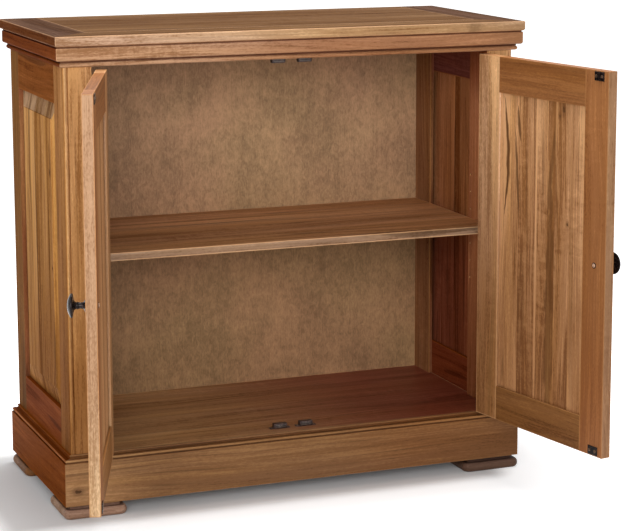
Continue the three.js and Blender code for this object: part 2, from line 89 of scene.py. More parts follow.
# %% Make the camera
PHOTO_WIDTH = 629
SENSOR_WIDTH = 36.0
camera_from_case = Vector((-1540.4, -4042.9, 1333.6)) * MM
camera_yaw = 0.3871
camera_pitch = 0.1661
focal_pixels = 2149.0
shift_across = -0.05
shift_up = -0.1


def looking(yaw, pitch):
    """Turns Blender's camera, which looks along its own -Z, to a heading and a tilt."""
    ahead = Vector((math.sin(yaw) * math.cos(pitch), math.cos(yaw) * math.cos(pitch), -math.sin(pitch)))
    right = Vector((math.cos(yaw), -math.sin(yaw), 0))
    return Matrix((right, right.cross(ahead), -ahead)).transposed()


camera_data = bpy.data.cameras.new("photo_camera")
camera_data.sensor_width = SENSOR_WIDTH
camera_data.lens = focal_pixels / PHOTO_WIDTH * SENSOR_WIDTH
camera_data.shift_x = shift_across
camera_data.shift_y = shift_up
camera = bpy.data.objects.new("photo_camera", camera_data)
bpy.context.scene.collection.objects.link(camera)
camera.matrix_world = Matrix.Translation(case_front + camera_from_case) @ looking(
    camera_yaw, camera_pitch).to_4x4()
bpy.context.scene.camera = camera
print("lens of", round(camera_data.lens, 1), "mm")

# %% [markdown]
# ## Light
# A furniture studio lights a piece with large soft boxes. The key box stands in front and to the
# left, so that the left side is a step darker than the front. A grid over it narrows its beam,
# which is aimed at the left end, so that the front and the inside fall off towards the right. A
# second box fills the front. The strongest hangs overhead, a little behind, and throws the soft
# shadow forward on the floor. The world adds an even fill. Together they come to about the level
# at which a colour renders as it is written.

# %% Place the soft boxes
SOFT_BOXES = {
    "key": {
        "place": (-1.7, -2.8, 1.5), "target": (-0.6, 0.1, 0.75), "size": (2.0, 1.4), "power": 13.6,
        "tint": (1.0, 0.985, 0.96), "beam_deg": 65},
    "front_fill": {
        "place": (0.0, -3.7, 1.1), "target": (0.0, 0.2, 0.5), "size": (1.8, 1.6), "power": 12.0,
        "tint": (0.98, 0.99, 1.0), "beam_deg": 180},
    "overhead": {
        "place": (0.1, 0.4, 3.0), "target": (0.0, 0.2, 0.0), "size": (1.25, 0.7), "power": 84.0,
        "tint": (1.0, 0.99, 0.97), "beam_deg": 180}}


def soft_box(name, place, target, size, power, tint, beam_deg):
    """A lamp with a wide face. Its places are metres from the middle of the case front."""
    lamp = bpy.data.lights.new(name, "AREA")
    lamp.spread = math.radians(beam_deg)
    lamp.shape = "RECTANGLE"
    lamp.size, lamp.size_y = size
    lamp.energy = power
    lamp.color = tint
    box = bpy.data.objects.new(name, lamp)
    bpy.context.scene.collection.objects.link(box)
    box.location = case_front + Vector(place)
    box.rotation_euler = (Vector(target) + case_front - box.location).to_track_quat("-Z", "Y").to_euler()


for name, values in SOFT_BOXES.items():
    soft_box(name, **values)

# %% [markdown]
# ## The white surround
# The photograph has a white ground with only a soft shadow on it. Pushing more light at the
# floor would also light the cupboard, so the white is added for the camera alone: the Light
# Path node says which rays come from the camera or a reflection, and only those see it. The
# paper barely glows under the cupboard and close round it, which paints a soft shadow there.

# %% Helpers for shader nodes
def feed(tree, made, sockets):
    """Links an input to what it gets if that is a socket, and sets it if that is a value."""
    for key, value in sockets.items():
        if isinstance(value, bpy.types.NodeSocket):
            tree.links.new(value, made.inputs[key])
        else:
            made.inputs[key].default_value = value
    return made


def add_node(tree, kind, sockets=None, **settings):
    made = tree.nodes.new(kind)
    for key, value in settings.items():
        setattr(made, key, value)
    return feed(tree, made, sockets or {})


def maths(tree, operation, *values):
    return add_node(tree, "ShaderNodeMath", dict(enumerate(values)), operation=operation).outputs[0]


def plus(tree, first, second):
    return maths(tree, "ADD", first, second)


def minus(tree, first, second):
    return maths(tree, "SUBTRACT", first, second)


def times(tree, first, second):
    return maths(tree, "MULTIPLY", first, second)


def larger(tree, first, second):
    return maths(tree, "MAXIMUM", first, second)


def vector_maths(tree, operation, *values):
    return add_node(
        tree, "ShaderNodeVectorMath", dict(enumerate(values)), operation=operation).outputs[0]


def ramp_mask(tree, value, low, high, out_low=0.0, out_high=1.0):
    """Rises smoothly as the value goes from low to high."""
    return add_node(tree, "ShaderNodeMapRange", {
        "Value": value, "From Min": low, "From Max": high, "To Min": out_low, "To Max": out_high,
    }, interpolation_type="SMOOTHSTEP").outputs["Result"]


MIX_FACTOR, MIX_A, MIX_B, MIX_COLOUR_OUT = 0, 6, 7, 2


def blend_colours(tree, factor, first, second, mode="MIX"):
    return add_node(tree, "ShaderNodeMix", {MIX_FACTOR: factor, MIX_A: first, MIX_B: second},
                    data_type="RGBA", blend_type=mode).outputs[MIX_COLOUR_OUT]


def tinted(tree, mask, colour, tint):
    """The colour, multiplied by the tint where the mask is 1."""
    return blend_colours(tree, mask, colour, (*tint, 1), "MULTIPLY")


def split(tree, vector):
    return add_node(tree, "ShaderNodeSeparateXYZ", {0: vector}).outputs


def length_of(tree, vector):
    return add_node(tree, "ShaderNodeVectorMath", {0: vector}, operation="LENGTH").outputs["Value"]


def new_material(name):
    material = bpy.data.materials.new(name)
    material.use_nodes = True
    return material, material.node_tree, material.node_tree.nodes["Principled BSDF"]


def emboss(tree, shader, height, strength, distance):
    """Fine relief from a height. It is too small to be shape."""
    bump = add_node(tree, "ShaderNodeBump", {"Height": height, "Strength": strength, "Distance": distance})
    tree.links.new(bump.outputs[0], shader.inputs["Normal"])


# %% Light up the background for the camera only
def seen_directly(tree):
    """1 for rays from the camera and in mirrors and glass, 0 for the light that bounces."""
    path = add_node(tree, "ShaderNodeLightPath")
    mirrored = larger(tree, path.outputs["Is Glossy Ray"], path.outputs["Is Transmission Ray"])
    return larger(tree, path.outputs["Is Camera Ray"], mirrored)


world = bpy.data.worlds.new("studio")
world.use_nodes = True
world.node_tree.nodes.clear()
fill_light = add_node(world.node_tree, "ShaderNodeBackground", {"Color": (1, 1, 1, 1), "Strength": 0.3})
white_card = add_node(world.node_tree, "ShaderNodeBackground", {"Color": (1, 1, 1, 1), "Strength": 1.0})
world_mix = add_node(world.node_tree, "ShaderNodeMixShader", {
    0: seen_directly(world.node_tree), 1: fill_light.outputs[0], 2: white_card.outputs[0]})
add_node(world.node_tree, "ShaderNodeOutputWorld", {"Surface": world_mix.outputs[0]})
bpy.context.scene.world = world

# %% Lay the studio floor
FLOOR_REACH = 14.0
floor_mesh = bpy.data.meshes.new("studio_floor")
floor_builder = bmesh.new()
bmesh.ops.create_grid(floor_builder, x_segments=8, y_segments=8, size=FLOOR_REACH)
floor_builder.to_mesh(floor_mesh)
floor_builder.free()
studio_floor = bpy.data.objects.new("studio_floor", floor_mesh)
bpy.context.scene.collection.objects.link(studio_floor)
paper, paper_tree, paper_shader = new_material("studio_paper")
paper_shader.inputs["Base Color"].default_value = (0.82, 0.83, 0.85, 1)
paper_shader.inputs["Roughness"].default_value = 0.9
paper_shader.inputs["Specular IOR Level"].default_value = 0.0
paper_shader.inputs["Emission Color"].default_value = (1, 1, 1, 1)
# Painted shadow: the paper's glow is weakest near a box round the footprint, shifted left, and rises with the
# distance from it.
STEEP_REACH, FULL_REACH = 0.07, 0.5
SHADOW_GLOW, HALF_GLOW = 0.03, 0.5
shadow_low, shadow_high = Vector((-0.6, -0.03, -1.0)), Vector((0.42, 0.45, 1.0))
shadow_middle = case_front + (shadow_low + shadow_high) / 2
paper_place = add_node(paper_tree, "ShaderNodeTexCoord").outputs["Object"]
from_shadow = vector_maths(paper_tree, "SUBTRACT", paper_place, shadow_middle)
from_shadow = vector_maths(paper_tree, "ABSOLUTE", from_shadow)
from_shadow = vector_maths(paper_tree, "SUBTRACT", from_shadow, (shadow_high - shadow_low) / 2)
from_shadow = vector_maths(paper_tree, "MAXIMUM", from_shadow, (0, 0, 0))
paper_reach = length_of(paper_tree, from_shadow)
paper_glow = plus(paper_tree, ramp_mask(paper_tree, paper_reach, 0.0, STEEP_REACH, SHADOW_GLOW, HALF_GLOW),
                  ramp_mask(paper_tree, paper_reach, STEEP_REACH, FULL_REACH, 0.0, HALF_GLOW))
paper_lift = times(paper_tree, seen_directly(paper_tree), paper_glow)
paper_tree.links.new(paper_lift, paper_shader.inputs["Emission Strength"])
floor_mesh.materials.append(paper)
print("studio floor reaches", FLOOR_REACH, "m each way")

# %% [markdown]
# ## Wood that follows the board
# Grain runs along a board, whichever way the board is turned. A picture of wood would need
# unwrapping and repeats, so the grain here is worked out from each point's place in its own
# board: how far along it, across it and through it. Every board gets those three directions
# once, and a Mapping node turns the object's coordinates into them. It also works inside a
# joint, where an end shows the same rings as the face.

# %% Measure each board along its own directions
def board_space(node, along, across):
    """The turn and shift into board space, and the half sizes of the board in it."""
    through = along.cross(across)
    turn = Matrix((along, across, through))
    points = [turn @ vertex.co for vertex in nodes[node].data.vertices]
    low = Vector([min(point[axis] for point in points) for axis in range(3)])
    high = Vector([max(point[axis] for point in points) for axis in range(3)])
    return turn, -(low + high) / 2, (high - low) / 2


def turned(direction, side):
    """A direction that is given for a closed door, turned with that door."""
    return Matrix.Rotation(door_turn[side], 3, "Z") @ direction


def new_group(name, inputs, outputs):
    """A shader node group with named sockets. Inputs are (name, kind, default)."""
    tree = bpy.data.node_groups.new(name, "ShaderNodeTree")
    for label, kind, default in inputs:
        socket = tree.interface.new_socket(label, in_out="INPUT", socket_type=f"NodeSocket{kind}")
        socket.default_value = default
    for label, kind in outputs:
        tree.interface.new_socket(label, in_out="OUTPUT", socket_type=f"NodeSocket{kind}")
    entry = tree.nodes.new("NodeGroupInput").outputs
    leave = tree.nodes.new("NodeGroupOutput").inputs
    return tree, entry, leave


def fill_group(tree, group, sockets):
    made = tree.nodes.new("ShaderNodeGroup")
    made.node_tree = group
    return feed(tree, made, sockets).outputs


def board_place(tree, node, along, across):
    """The object's coordinates, the same in board space, and the half sizes of the board."""
    turn, shift, half = board_space(node, along, across)
    coordinates = add_node(tree, "ShaderNodeTexCoord").outputs
    place = add_node(tree, "ShaderNodeMapping", {
        "Vector": coordinates["Object"], "Location": shift, "Rotation": turn.to_euler("XYZ")}).outputs[0]
    return coordinates, place, half


print("half sizes of the shelf", [round(v, 3) for v in board_space("shelf", X, Y)[2]])

# %% [markdown]
# ## Glued-up boards
# Wide panels are glued from several narrow boards, and each board comes from another tree. A
# Voronoi texture in one dimension cuts the width into strips of uneven width. Its random
# colour gives each strip a tone and moves its grain, and its distance to the edge finds the
# glue line.

# %% Build the strips group
strips, strips_in, strips_out = new_group("Glued Strips", [
    ("Vector", "Vector", (0, 0, 0)),
    ("Strip Width", "Float", 0.08),
    ("Seed", "Float", 0.0),
], [("Vector", "Vector"), ("Tone", "Float"), ("Glue Line", "Float")])
strip_place = split(strips, strips_in["Vector"])
strip_count = maths(strips, "DIVIDE", strip_place["Y"], strips_in["Strip Width"])
strip_w = plus(strips, strip_count, strips_in["Seed"])
strip_cell = add_node(strips, "ShaderNodeTexVoronoi", {"W": strip_w, "Scale": 1.0, "Randomness": 0.55},
                      voronoi_dimensions="1D", feature="F1")
strip_random = add_node(strips, "ShaderNodeSeparateColor", {0: strip_cell.outputs["Color"]}).outputs
strip_edge = add_node(strips, "ShaderNodeTexVoronoi", {"W": strip_w, "Scale": 1.0, "Randomness": 0.55},
                      voronoi_dimensions="1D", feature="DISTANCE_TO_EDGE")
strip_gap = times(strips, strip_edge.outputs["Distance"], strips_in["Strip Width"])
strip_shift = add_node(strips, "ShaderNodeCombineXYZ", {
    "X": times(strips, strip_random["Green"], 3.0),
    "Y": times(strips, strip_random["Blue"], 0.7),
    "Z": times(strips, strip_random["Red"], 1.9)}).outputs[0]
strips.links.new(vector_maths(strips, "ADD", strips_in["Vector"], strip_shift), strips_out["Vector"])
strips.links.new(strip_random["Red"], strips_out["Tone"])
strips.links.new(ramp_mask(strips, strip_gap, 0.0, 0.0007, 1.0, 0.0), strips_out["Glue Line"])
print("group made:", strips.name)

# %% [markdown]
# ## The figure of the wood
# The cupboard is of a close-grained fruitwood with a satin wax. Up close it shows, from large
# to small: a slow drift of tone, soft streaks a finger wide, thin dark lines, mineral streaks
# that taper at both ends, patches of curl where light ripples cross the grain, short flecks
# and fibres. Each is noise stretched along the board by its own amount. The grain wanders a
# little and swings round the knots, because the place that is looked up is pushed sideways.

# %% Build the figure group
figure, figure_in, figure_out = new_group("Wood Figure", [
    ("Vector", "Vector", (0, 0, 0)),
    ("Seed", "Float", 0.0),
    ("Drift", "Float", 0.5),
    ("Streaks", "Float", 0.5),
    ("Dark Lines", "Float", 0.5),
    ("Mineral", "Float", 0.5),
    ("Knots", "Float", 0.5),
    ("Curl", "Float", 0.3),
], [("Tone", "Float"), ("Warmth", "Float"), ("Dark Marks", "Float"), ("Height", "Float")])


def stretched_noise(tree, place, along, across, detail, roughness=0.5, distortion=0.0):
    """Noise whose marks are longer along the board. The two scales are marks per metre."""
    scaled = vector_maths(tree, "MULTIPLY", place, (along, across, across))
    return add_node(tree, "ShaderNodeTexNoise", {
        "Vector": scaled, "Scale": 1.0, "Detail": detail, "Roughness": roughness,
        "Distortion": distortion}).outputs["Fac"]


seed_vector = add_node(figure, "ShaderNodeCombineXYZ", {
    "X": times(figure, figure_in["Seed"], 1.71),
    "Y": times(figure, figure_in["Seed"], 0.37),
    "Z": times(figure, figure_in["Seed"], 0.53)}).outputs[0]
grain_place = vector_maths(figure, "ADD", figure_in["Vector"], seed_vector)

# %% Knots, and the way the grain swings round them
knot_place = vector_maths(figure, "MULTIPLY", grain_place, (2.6, 6.5, 6.5))
knot_cell = add_node(figure, "ShaderNodeTexVoronoi", {"Vector": knot_place, "Scale": 1.0},
                     voronoi_dimensions="3D", feature="F1")
knot_random = add_node(figure, "ShaderNodeSeparateColor", {0: knot_cell.outputs["Color"]}).outputs
knot_here = ramp_mask(figure, knot_random["Red"], 0.45, 0.5)
knot_here = times(figure, knot_here, figure_in["Knots"])
knot_core = times(figure, ramp_mask(figure, knot_cell.outputs["Distance"], 0.02, 0.075, 1, 0),
                  knot_here)
knot_pull = times(figure, ramp_mask(figure, knot_cell.outputs["Distance"], 0.0, 0.42, 1, 0),
                  knot_here)
wander = minus(figure, stretched_noise(figure, grain_place, 1.6, 5.0, 1.0), 0.5)
swing = add_node(figure, "ShaderNodeCombineXYZ", {
    "Y": plus(figure, times(figure, knot_pull, 0.035), times(figure, wander, 0.05)),
    "Z": times(figure, knot_pull, 0.01)})
swung_place = vector_maths(figure, "ADD", grain_place, swing.outputs[0])

# %% The layers from large to small
drift = stretched_noise(figure, swung_place, 1.1, 8.0, 1.5)
streak = stretched_noise(figure, swung_place, 1.5, 40.0, 4.0, 0.66, 0.3)
thread = stretched_noise(figure, swung_place, 7.0, 230.0, 2.0, 0.6)
dark_line = ramp_mask(figure, stretched_noise(figure, swung_place, 1.2, 105.0, 1.5), 0.61, 0.7)
mineral = ramp_mask(figure, stretched_noise(figure, swung_place, 2.4, 34.0, 1.5, 0.5, 0.35), 0.655, 0.71)
ripple = stretched_noise(figure, grain_place, 60.0, 22.0, 3.0, 0.6, 0.8)
ripple_patch = ramp_mask(figure, stretched_noise(figure, grain_place, 4.0, 11.0, 1.0), 0.5, 0.64)
fleck = ramp_mask(figure, stretched_noise(figure, grain_place, 26.0, 400.0, 1.0), 0.65, 0.74)
fibre = stretched_noise(figure, grain_place, 9.0, 520.0, 2.0, 0.6)
pore = stretched_noise(figure, grain_place, 130.0, 380.0, 2.0, 0.65)
warm_patch = stretched_noise(figure, swung_place, 1.3, 21.0, 2.5, 0.55)

# %% Add the layers up
def centred(value, amount):
    """A layer around zero, as strong as its input says."""
    return times(figure, minus(figure, value, 0.5), amount)


tone = plus(figure, 0.5, centred(drift, times(figure, figure_in["Drift"], 2.2)))
tone = plus(figure, tone, centred(streak, times(figure, figure_in["Streaks"], 2.6)))
tone = plus(figure, tone, centred(thread, times(figure, figure_in["Streaks"], 1.7)))
tone = plus(figure, tone, centred(ripple, times(figure, times(figure, figure_in["Curl"], ripple_patch), 1.7)))
tone = plus(figure, tone, centred(fibre, 0.35))
tone = plus(figure, tone, centred(pore, 0.6))
marks = times(figure, mineral, figure_in["Mineral"])
marks = larger(figure, marks, times(figure, dark_line, times(figure, figure_in["Dark Lines"], 0.6)))
marks = larger(figure, marks, times(figure, fleck, 0.3))
marks = larger(figure, marks, knot_core)
figure.links.new(tone, figure_out["Tone"])
figure.links.new(warm_patch, figure_out["Warmth"])
figure.links.new(marks, figure_out["Dark Marks"])
wood_height = minus(figure, times(figure, fibre, 0.5), fleck)
figure.links.new(wood_height, figure_out["Height"])
print("nodes in the figure group:", len(figure.nodes))

# %% [markdown]
# ## Marks in chosen places
# Some marks of the real boards catch the eye: two long dark streaks and a pair of knots at the
# top of the right door, a scar on the plinth. Noise never puts them in the right place, so two
# more groups draw one such mark each, at a place given in metres from the middle of the board.

# %% Build the tapered streak and the knot
tapered, tapered_in, tapered_out = new_group("Tapered Streak", [
    ("Vector", "Vector", (0, 0, 0)),
    ("Along", "Float", 0.0),
    ("Across", "Float", 0.0),
    ("Length", "Float", 0.1),
    ("Width", "Float", 0.004),
    ("Bend", "Float", 0.0),
    ("Slant", "Float", 0.0),
], [("Mask", "Float")])
tapered_place = split(tapered, tapered_in["Vector"])
reach = maths(tapered, "DIVIDE", minus(tapered, tapered_place["X"], tapered_in["Along"]),
              times(tapered, tapered_in["Length"], 0.5))
swell = larger(tapered, minus(tapered, 1.0, times(tapered, reach, reach)), 0.0)
sideways = minus(tapered, tapered_place["Y"], tapered_in["Across"])
sideways = minus(tapered, sideways, times(tapered, tapered_in["Bend"], swell))
sideways = minus(tapered, sideways, times(tapered, tapered_in["Slant"], reach))
ragged = minus(tapered, stretched_noise(tapered, tapered_in["Vector"], 30.0, 90.0, 2.0), 0.5)
sideways = plus(tapered, sideways, times(tapered, ragged, times(tapered, tapered_in["Width"], 0.7)))
half_swell = maths(tapered, "MULTIPLY_ADD", times(tapered, swell, tapered_in["Width"]), 0.5, 0.00001)
nearness = maths(tapered, "DIVIDE", maths(tapered, "ABSOLUTE", sideways), half_swell)
tapered.links.new(ramp_mask(tapered, nearness, 0.4, 1.15, 1.0, 0.0), tapered_out["Mask"])

knot_spot, knot_in, knot_out = new_group("Knot Spot", [
    ("Vector", "Vector", (0, 0, 0)),
    ("Along", "Float", 0.0),
    ("Across", "Float", 0.0),
    ("Radius", "Float", 0.004),
], [("Mask", "Float")])
knot_centre = add_node(knot_spot, "ShaderNodeCombineXYZ", {"X": knot_in["Along"], "Y": knot_in["Across"]})
knot_offset = vector_maths(knot_spot, "SUBTRACT", knot_in["Vector"], knot_centre.outputs[0])
knot_offset = vector_maths(knot_spot, "MULTIPLY", knot_offset, (0.6, 1.0, 0.0))
knot_length = length_of(knot_spot, knot_offset)
knot_ragged = stretched_noise(knot_spot, knot_in["Vector"], 160.0, 160.0, 2.0)
knot_share = maths(knot_spot, "DIVIDE", knot_length, knot_in["Radius"])
knot_share = plus(knot_spot, knot_share, maths(knot_spot, "MULTIPLY_ADD", knot_ragged, 1.4, -0.7))
knot_halo = ramp_mask(knot_spot, knot_share, 1.0, 2.8, 0.45, 0.0)
knot_heart = ramp_mask(knot_spot, knot_share, 0.6, 1.2, 1.0, 0.0)
knot_spot.links.new(larger(knot_spot, knot_halo, knot_heart), knot_out["Mask"])
print("groups made:", tapered.name, "and", knot_spot.name)

# %% [markdown]
# ## Edges
# Handling rubs the stain off an arris and leaves it paler, and that pale line is also a painted
# highlight. The darkening in the corner beside a moulding is painted shade. Both depend only on
# how far a point is from the nearest arris of its board. On the surface of a box one of the
# three distances to its faces is zero, so the middle one of the three is the distance to the arris.

# %% Build the arris group
arris, arris_in, arris_out = new_group("Arris", [
    ("Vector", "Vector", (0, 0, 0)),
    ("Half Size", "Vector", (0.1, 0.1, 0.01)),
    ("Worn Highlight Width", "Float", 0.002),
    ("Corner Shade Width", "Float", 0.02),
], [("Worn Highlight", "Float"), ("Corner Shade", "Float")])
inside = vector_maths(arris, "SUBTRACT", arris_in["Half Size"],
                      vector_maths(arris, "ABSOLUTE", arris_in["Vector"]))
inside_xyz = split(arris, inside)
low_pair = maths(arris, "MINIMUM", inside_xyz["X"], inside_xyz["Y"])
high_pair = larger(arris, inside_xyz["X"], inside_xyz["Y"])
arris_gap = larger(arris, low_pair, maths(arris, "MINIMUM", high_pair, inside_xyz["Z"]))
rub = stretched_noise(arris, arris_in["Vector"], 22.0, 60.0, 2.0)
rubbed_gap = plus(arris, arris_gap, times(arris, rub, 0.0016))
worn_highlight_edge = plus(arris, arris_in["Worn Highlight Width"], 0.0008)
arris.links.new(ramp_mask(arris, rubbed_gap, 0.0006, worn_highlight_edge, 1.0, 0.0), arris_out["Worn Highlight"])
arris.links.new(ramp_mask(arris, arris_gap, 0.0, arris_in["Corner Shade Width"], 1.0, 0.0), arris_out["Corner Shade"])
print("group made:", arris.name)

# %% [markdown]
# ## One stained board
# The finish of a board is built the same way each time: figure, then three tones of one stain
# mixed by it, warmer and more golden patches, dark marks over them, painted shade beside the
# arrises of panels, arrises made pale by wear and a painted highlight, and a satin wax on top.
# Only the values change, so a function writes the material and each board states its stain. The
# lamps alone don't give all of the photograph's shading, so some faces and ends also get painted
# light and shade: a whole face, a band across the board, or a band on one face.

# %% Masks of one board
def shade(colour, factor, warmth=0.0):
    """A lighter or darker colour of the same stain. Warmth takes away green and blue."""
    red, green, blue = colour
    return (red * factor, green * factor * (1 - warmth), blue * factor * (1 - 2 * warmth), 1)


def plank_steps(tree, place, half_width, planks):
    """Hard steps across a glued panel. Each plank is (share where it starts, tone, warmth)."""
    across = split(tree, place)["Y"]
    share = maths(tree, "MULTIPLY_ADD", across, 0.5 / half_width, 0.5)
    steps = add_node(tree, "ShaderNodeValToRGB", {0: share})
    steps.color_ramp.interpolation = "CONSTANT"
    for count, (start, tone, warmth) in enumerate(planks):
        if count > 1:
            steps.color_ramp.elements.new(start)
        step = steps.color_ramp.elements[count]
        step.position = start
        step.color = (0.5 + tone, 0.5 + warmth, (0.37 * count) % 1.0, 1)
    return add_node(tree, "ShaderNodeSeparateColor", {0: steps.outputs["Color"]}).outputs


def band_mask(tree, place, low, high, soft):
    """1 between two places on an axis, with soft edges outside them."""
    return times(tree, ramp_mask(tree, place, low - soft, low),
                 ramp_mask(tree, place, high, high + soft, 1.0, 0.0))


FLAT_FACE = (0.6, 0.85)
SLOPED_FACE = (0.99, 0.998)


def facing_mask(tree, normal, direction, limits):
    """1 on the faces that look one way. The limits are cosines."""
    facing = add_node(tree, "ShaderNodeVectorMath", {0: normal, 1: direction}, operation="DOT_PRODUCT")
    return ramp_mask(tree, facing.outputs["Value"], *limits)


# %% The function that stains a board
COOL_PATCH = (1.01, 1.01, 1.1, 1)
WARM_PATCH = (1.02, 0.98, 0.86, 1)


def stain_board(node, along, across, stain, seed, strip_width=0.0, strip_contrast=0.0, planks=(),
                drift=0.5, streaks=0.5, lines=0.4, mineral=0.4, knots=0.4, curl=0.3, corner_shade=0.0,
                corner_shade_width=0.014, worn_highlight=0.6, worn_highlight_width=0.003, roughness=0.5, specular=0.15,
                face_tints=(), bands=(), face_bands=(), streak_marks=(), knot_marks=()):
    material, tree, shader = new_material(f"{node}_stain")
    coordinates, place, half = board_place(tree, node, along, across)
    grain = place
    plank_tone = None
    plank_warmth = None
    if strip_width:
        strip = fill_group(tree, strips, {"Vector": place, "Strip Width": strip_width, "Seed": seed})
        grain = strip["Vector"]
        plank_tone = times(tree, minus(tree, strip["Tone"], 0.5), strip_contrast)
    if planks:
        plank = plank_steps(tree, place, half.y, planks)
        plank_shift = add_node(tree, "ShaderNodeCombineXYZ", {
            "X": times(tree, plank["Blue"], 2.9), "Y": plank["Blue"]}).outputs[0]
        grain = vector_maths(tree, "ADD", place, plank_shift)
        plank_tone = minus(tree, plank["Red"], 0.5)
        plank_warmth = minus(tree, plank["Green"], 0.5)
    wood = fill_group(tree, figure, {
        "Vector": grain, "Seed": seed, "Drift": drift, "Streaks": streaks, "Dark Lines": lines,
        "Mineral": mineral, "Knots": knots, "Curl": curl})
    tone = wood["Tone"]
    warmth = wood["Warmth"]
    if plank_tone:
        tone = plus(tree, tone, plank_tone)
    if plank_warmth:
        warmth = plus(tree, warmth, plank_warmth)
    dark_to_plain = ramp_mask(tree, tone, 0.08, 0.5)
    colour = blend_colours(tree, dark_to_plain, shade(stain, 0.55, 0.17), shade(stain, 1.0))
    plain_to_pale = ramp_mask(tree, tone, 0.5, 0.95)
    colour = blend_colours(tree, plain_to_pale, colour, shade(stain, 1.45, -0.09))
    patch = blend_colours(tree, ramp_mask(tree, warmth, 0.3, 0.7), COOL_PATCH, WARM_PATCH)
    colour = blend_colours(tree, 1.0, colour, patch, "MULTIPLY")
    marks = wood["Dark Marks"]
    for along_at, across_at, length, width, bend, slant, strength in streak_marks:
        streak_mask = fill_group(tree, tapered, {
            "Vector": place, "Along": along_at, "Across": across_at, "Length": length, "Width": width,
            "Bend": bend, "Slant": slant})["Mask"]
        marks = larger(tree, marks, times(tree, streak_mask, strength))
    for along_at, across_at, radius in knot_marks:
        spot = fill_group(tree, knot_spot, {
            "Vector": place, "Along": along_at, "Across": across_at, "Radius": radius})["Mask"]
        marks = larger(tree, marks, spot)
    colour = blend_colours(tree, marks, colour, shade(stain, 0.25, 0.2))
    edges = fill_group(tree, arris, {
        "Vector": place, "Half Size": half, "Worn Highlight Width": worn_highlight_width, "Corner Shade Width": corner_shade_width})
    # Painted shade beside the arrises of the board, where a panel meets its frame.
    if corner_shade:
        colour = blend_colours(tree, times(tree, edges["Corner Shade"], corner_shade), colour,
                               shade(stain, 0.34, 0.12))
    if strip_width:
        colour = blend_colours(tree, times(tree, strip["Glue Line"], 0.45), colour,
                               shade(stain, 0.3, 0.1))
    # Painted light and shade: tints on whole faces, bands across the board and bands on one face.
    for direction, tint in face_tints:
        slope = max(abs(part) for part in direction) < 0.999
        face = facing_mask(tree, coordinates["Normal"], direction, SLOPED_FACE if slope else FLAT_FACE)
        colour = tinted(tree, face, colour, tint)
    frame_place = split(tree, coordinates["Object"])
    for axis, *edges_of_band, tint in bands:
        colour = tinted(tree, band_mask(tree, frame_place[axis], *edges_of_band), colour, tint)
    for direction, axis, *edges_of_band, tint in face_bands:
        face = facing_mask(tree, coordinates["Normal"], direction, FLAT_FACE)
        band = band_mask(tree, frame_place[axis], *edges_of_band)
        colour = tinted(tree, times(tree, face, band), colour, tint)
    # Pale arrises: wear, and a painted highlight.
    colour = blend_colours(tree, times(tree, edges["Worn Highlight"], worn_highlight), colour,
                           shade(stain, 1.75, -0.15))
    tree.links.new(colour, shader.inputs["Base Color"])
    gloss = ramp_mask(tree, tone, 0.0, 1.0, roughness + 0.08, roughness - 0.05)
    tree.links.new(gloss, shader.inputs["Roughness"])
    emboss(tree, shader, wood["Height"], 0.35, 0.4 * MM)
    shader.inputs["Specular IOR Level"].default_value = specular
    nodes[node].material_slots[0].material = material
    return material


def bevel_directions(node, outward):
    """The four slopes round a raised field, by the way that they lean."""
    slopes = {}
    for polygon in nodes[node].data.polygons:
        if 0.9 < polygon.normal.dot(outward) < 0.998:
            lean = polygon.normal - outward * polygon.normal.dot(outward)
            if abs(lean.z) > abs(lean.y):
                key = "up" if lean.z > 0 else "down"
            else:
                key = "rear" if lean.y > 0 else "front"
            slopes[key] = polygon.normal.copy()
    return slopes


print("sockets of the figure group:", [item.name for item in figure.interface.items_tree])

# %% [markdown]
# ## Stain the case
# Posts, stiles and panels stand, so their grain runs up. Rails, mouldings and the plinth lie,
# so theirs runs along them. The front of the real case is tan where the light meets it and
# the left side is redder. Each board gets its own seed, so that no two match.

# %% Stains as linear colours
AMBER = (0.378, 0.168, 0.047)
FAWN = (0.333, 0.141, 0.042)
CHESTNUT = (0.22, 0.091, 0.024)
HAY = (0.385, 0.184, 0.073)
TAN = (0.45, 0.24, 0.125)
BISCUIT = (0.373, 0.172, 0.078)
RUSSET = (0.188, 0.043, 0.006)
RUST = (0.2, 0.051, 0.0065)
BRICK = (0.245, 0.074, 0.013)
TOBACCO = (0.174, 0.072, 0.0235)
WALNUT = (0.5, 0.25, 0.11)
UMBER = (0.378, 0.2, 0.095)
SIENNA = (0.415, 0.237, 0.106)
TAUPE = (0.375, 0.228, 0.126)
# Painted light on the doors' edge faces, paler still on the free edges, and painted shade on the hinge edges.
FREE_EDGE_LIGHT = {"left": (1.65, 2.45, 4.1), "right": (1.15, 1.5, 2.2)}
DOOR_EDGE_LIGHT = (0.95, 1.05, 1.3)
HINGE_EDGE_SHADE = (0.8, 0.8, 0.75)
# Painted shade on the inner face of a side panel.
INNER_FACE_SHADE = (0.71, 0.63, 0.83)

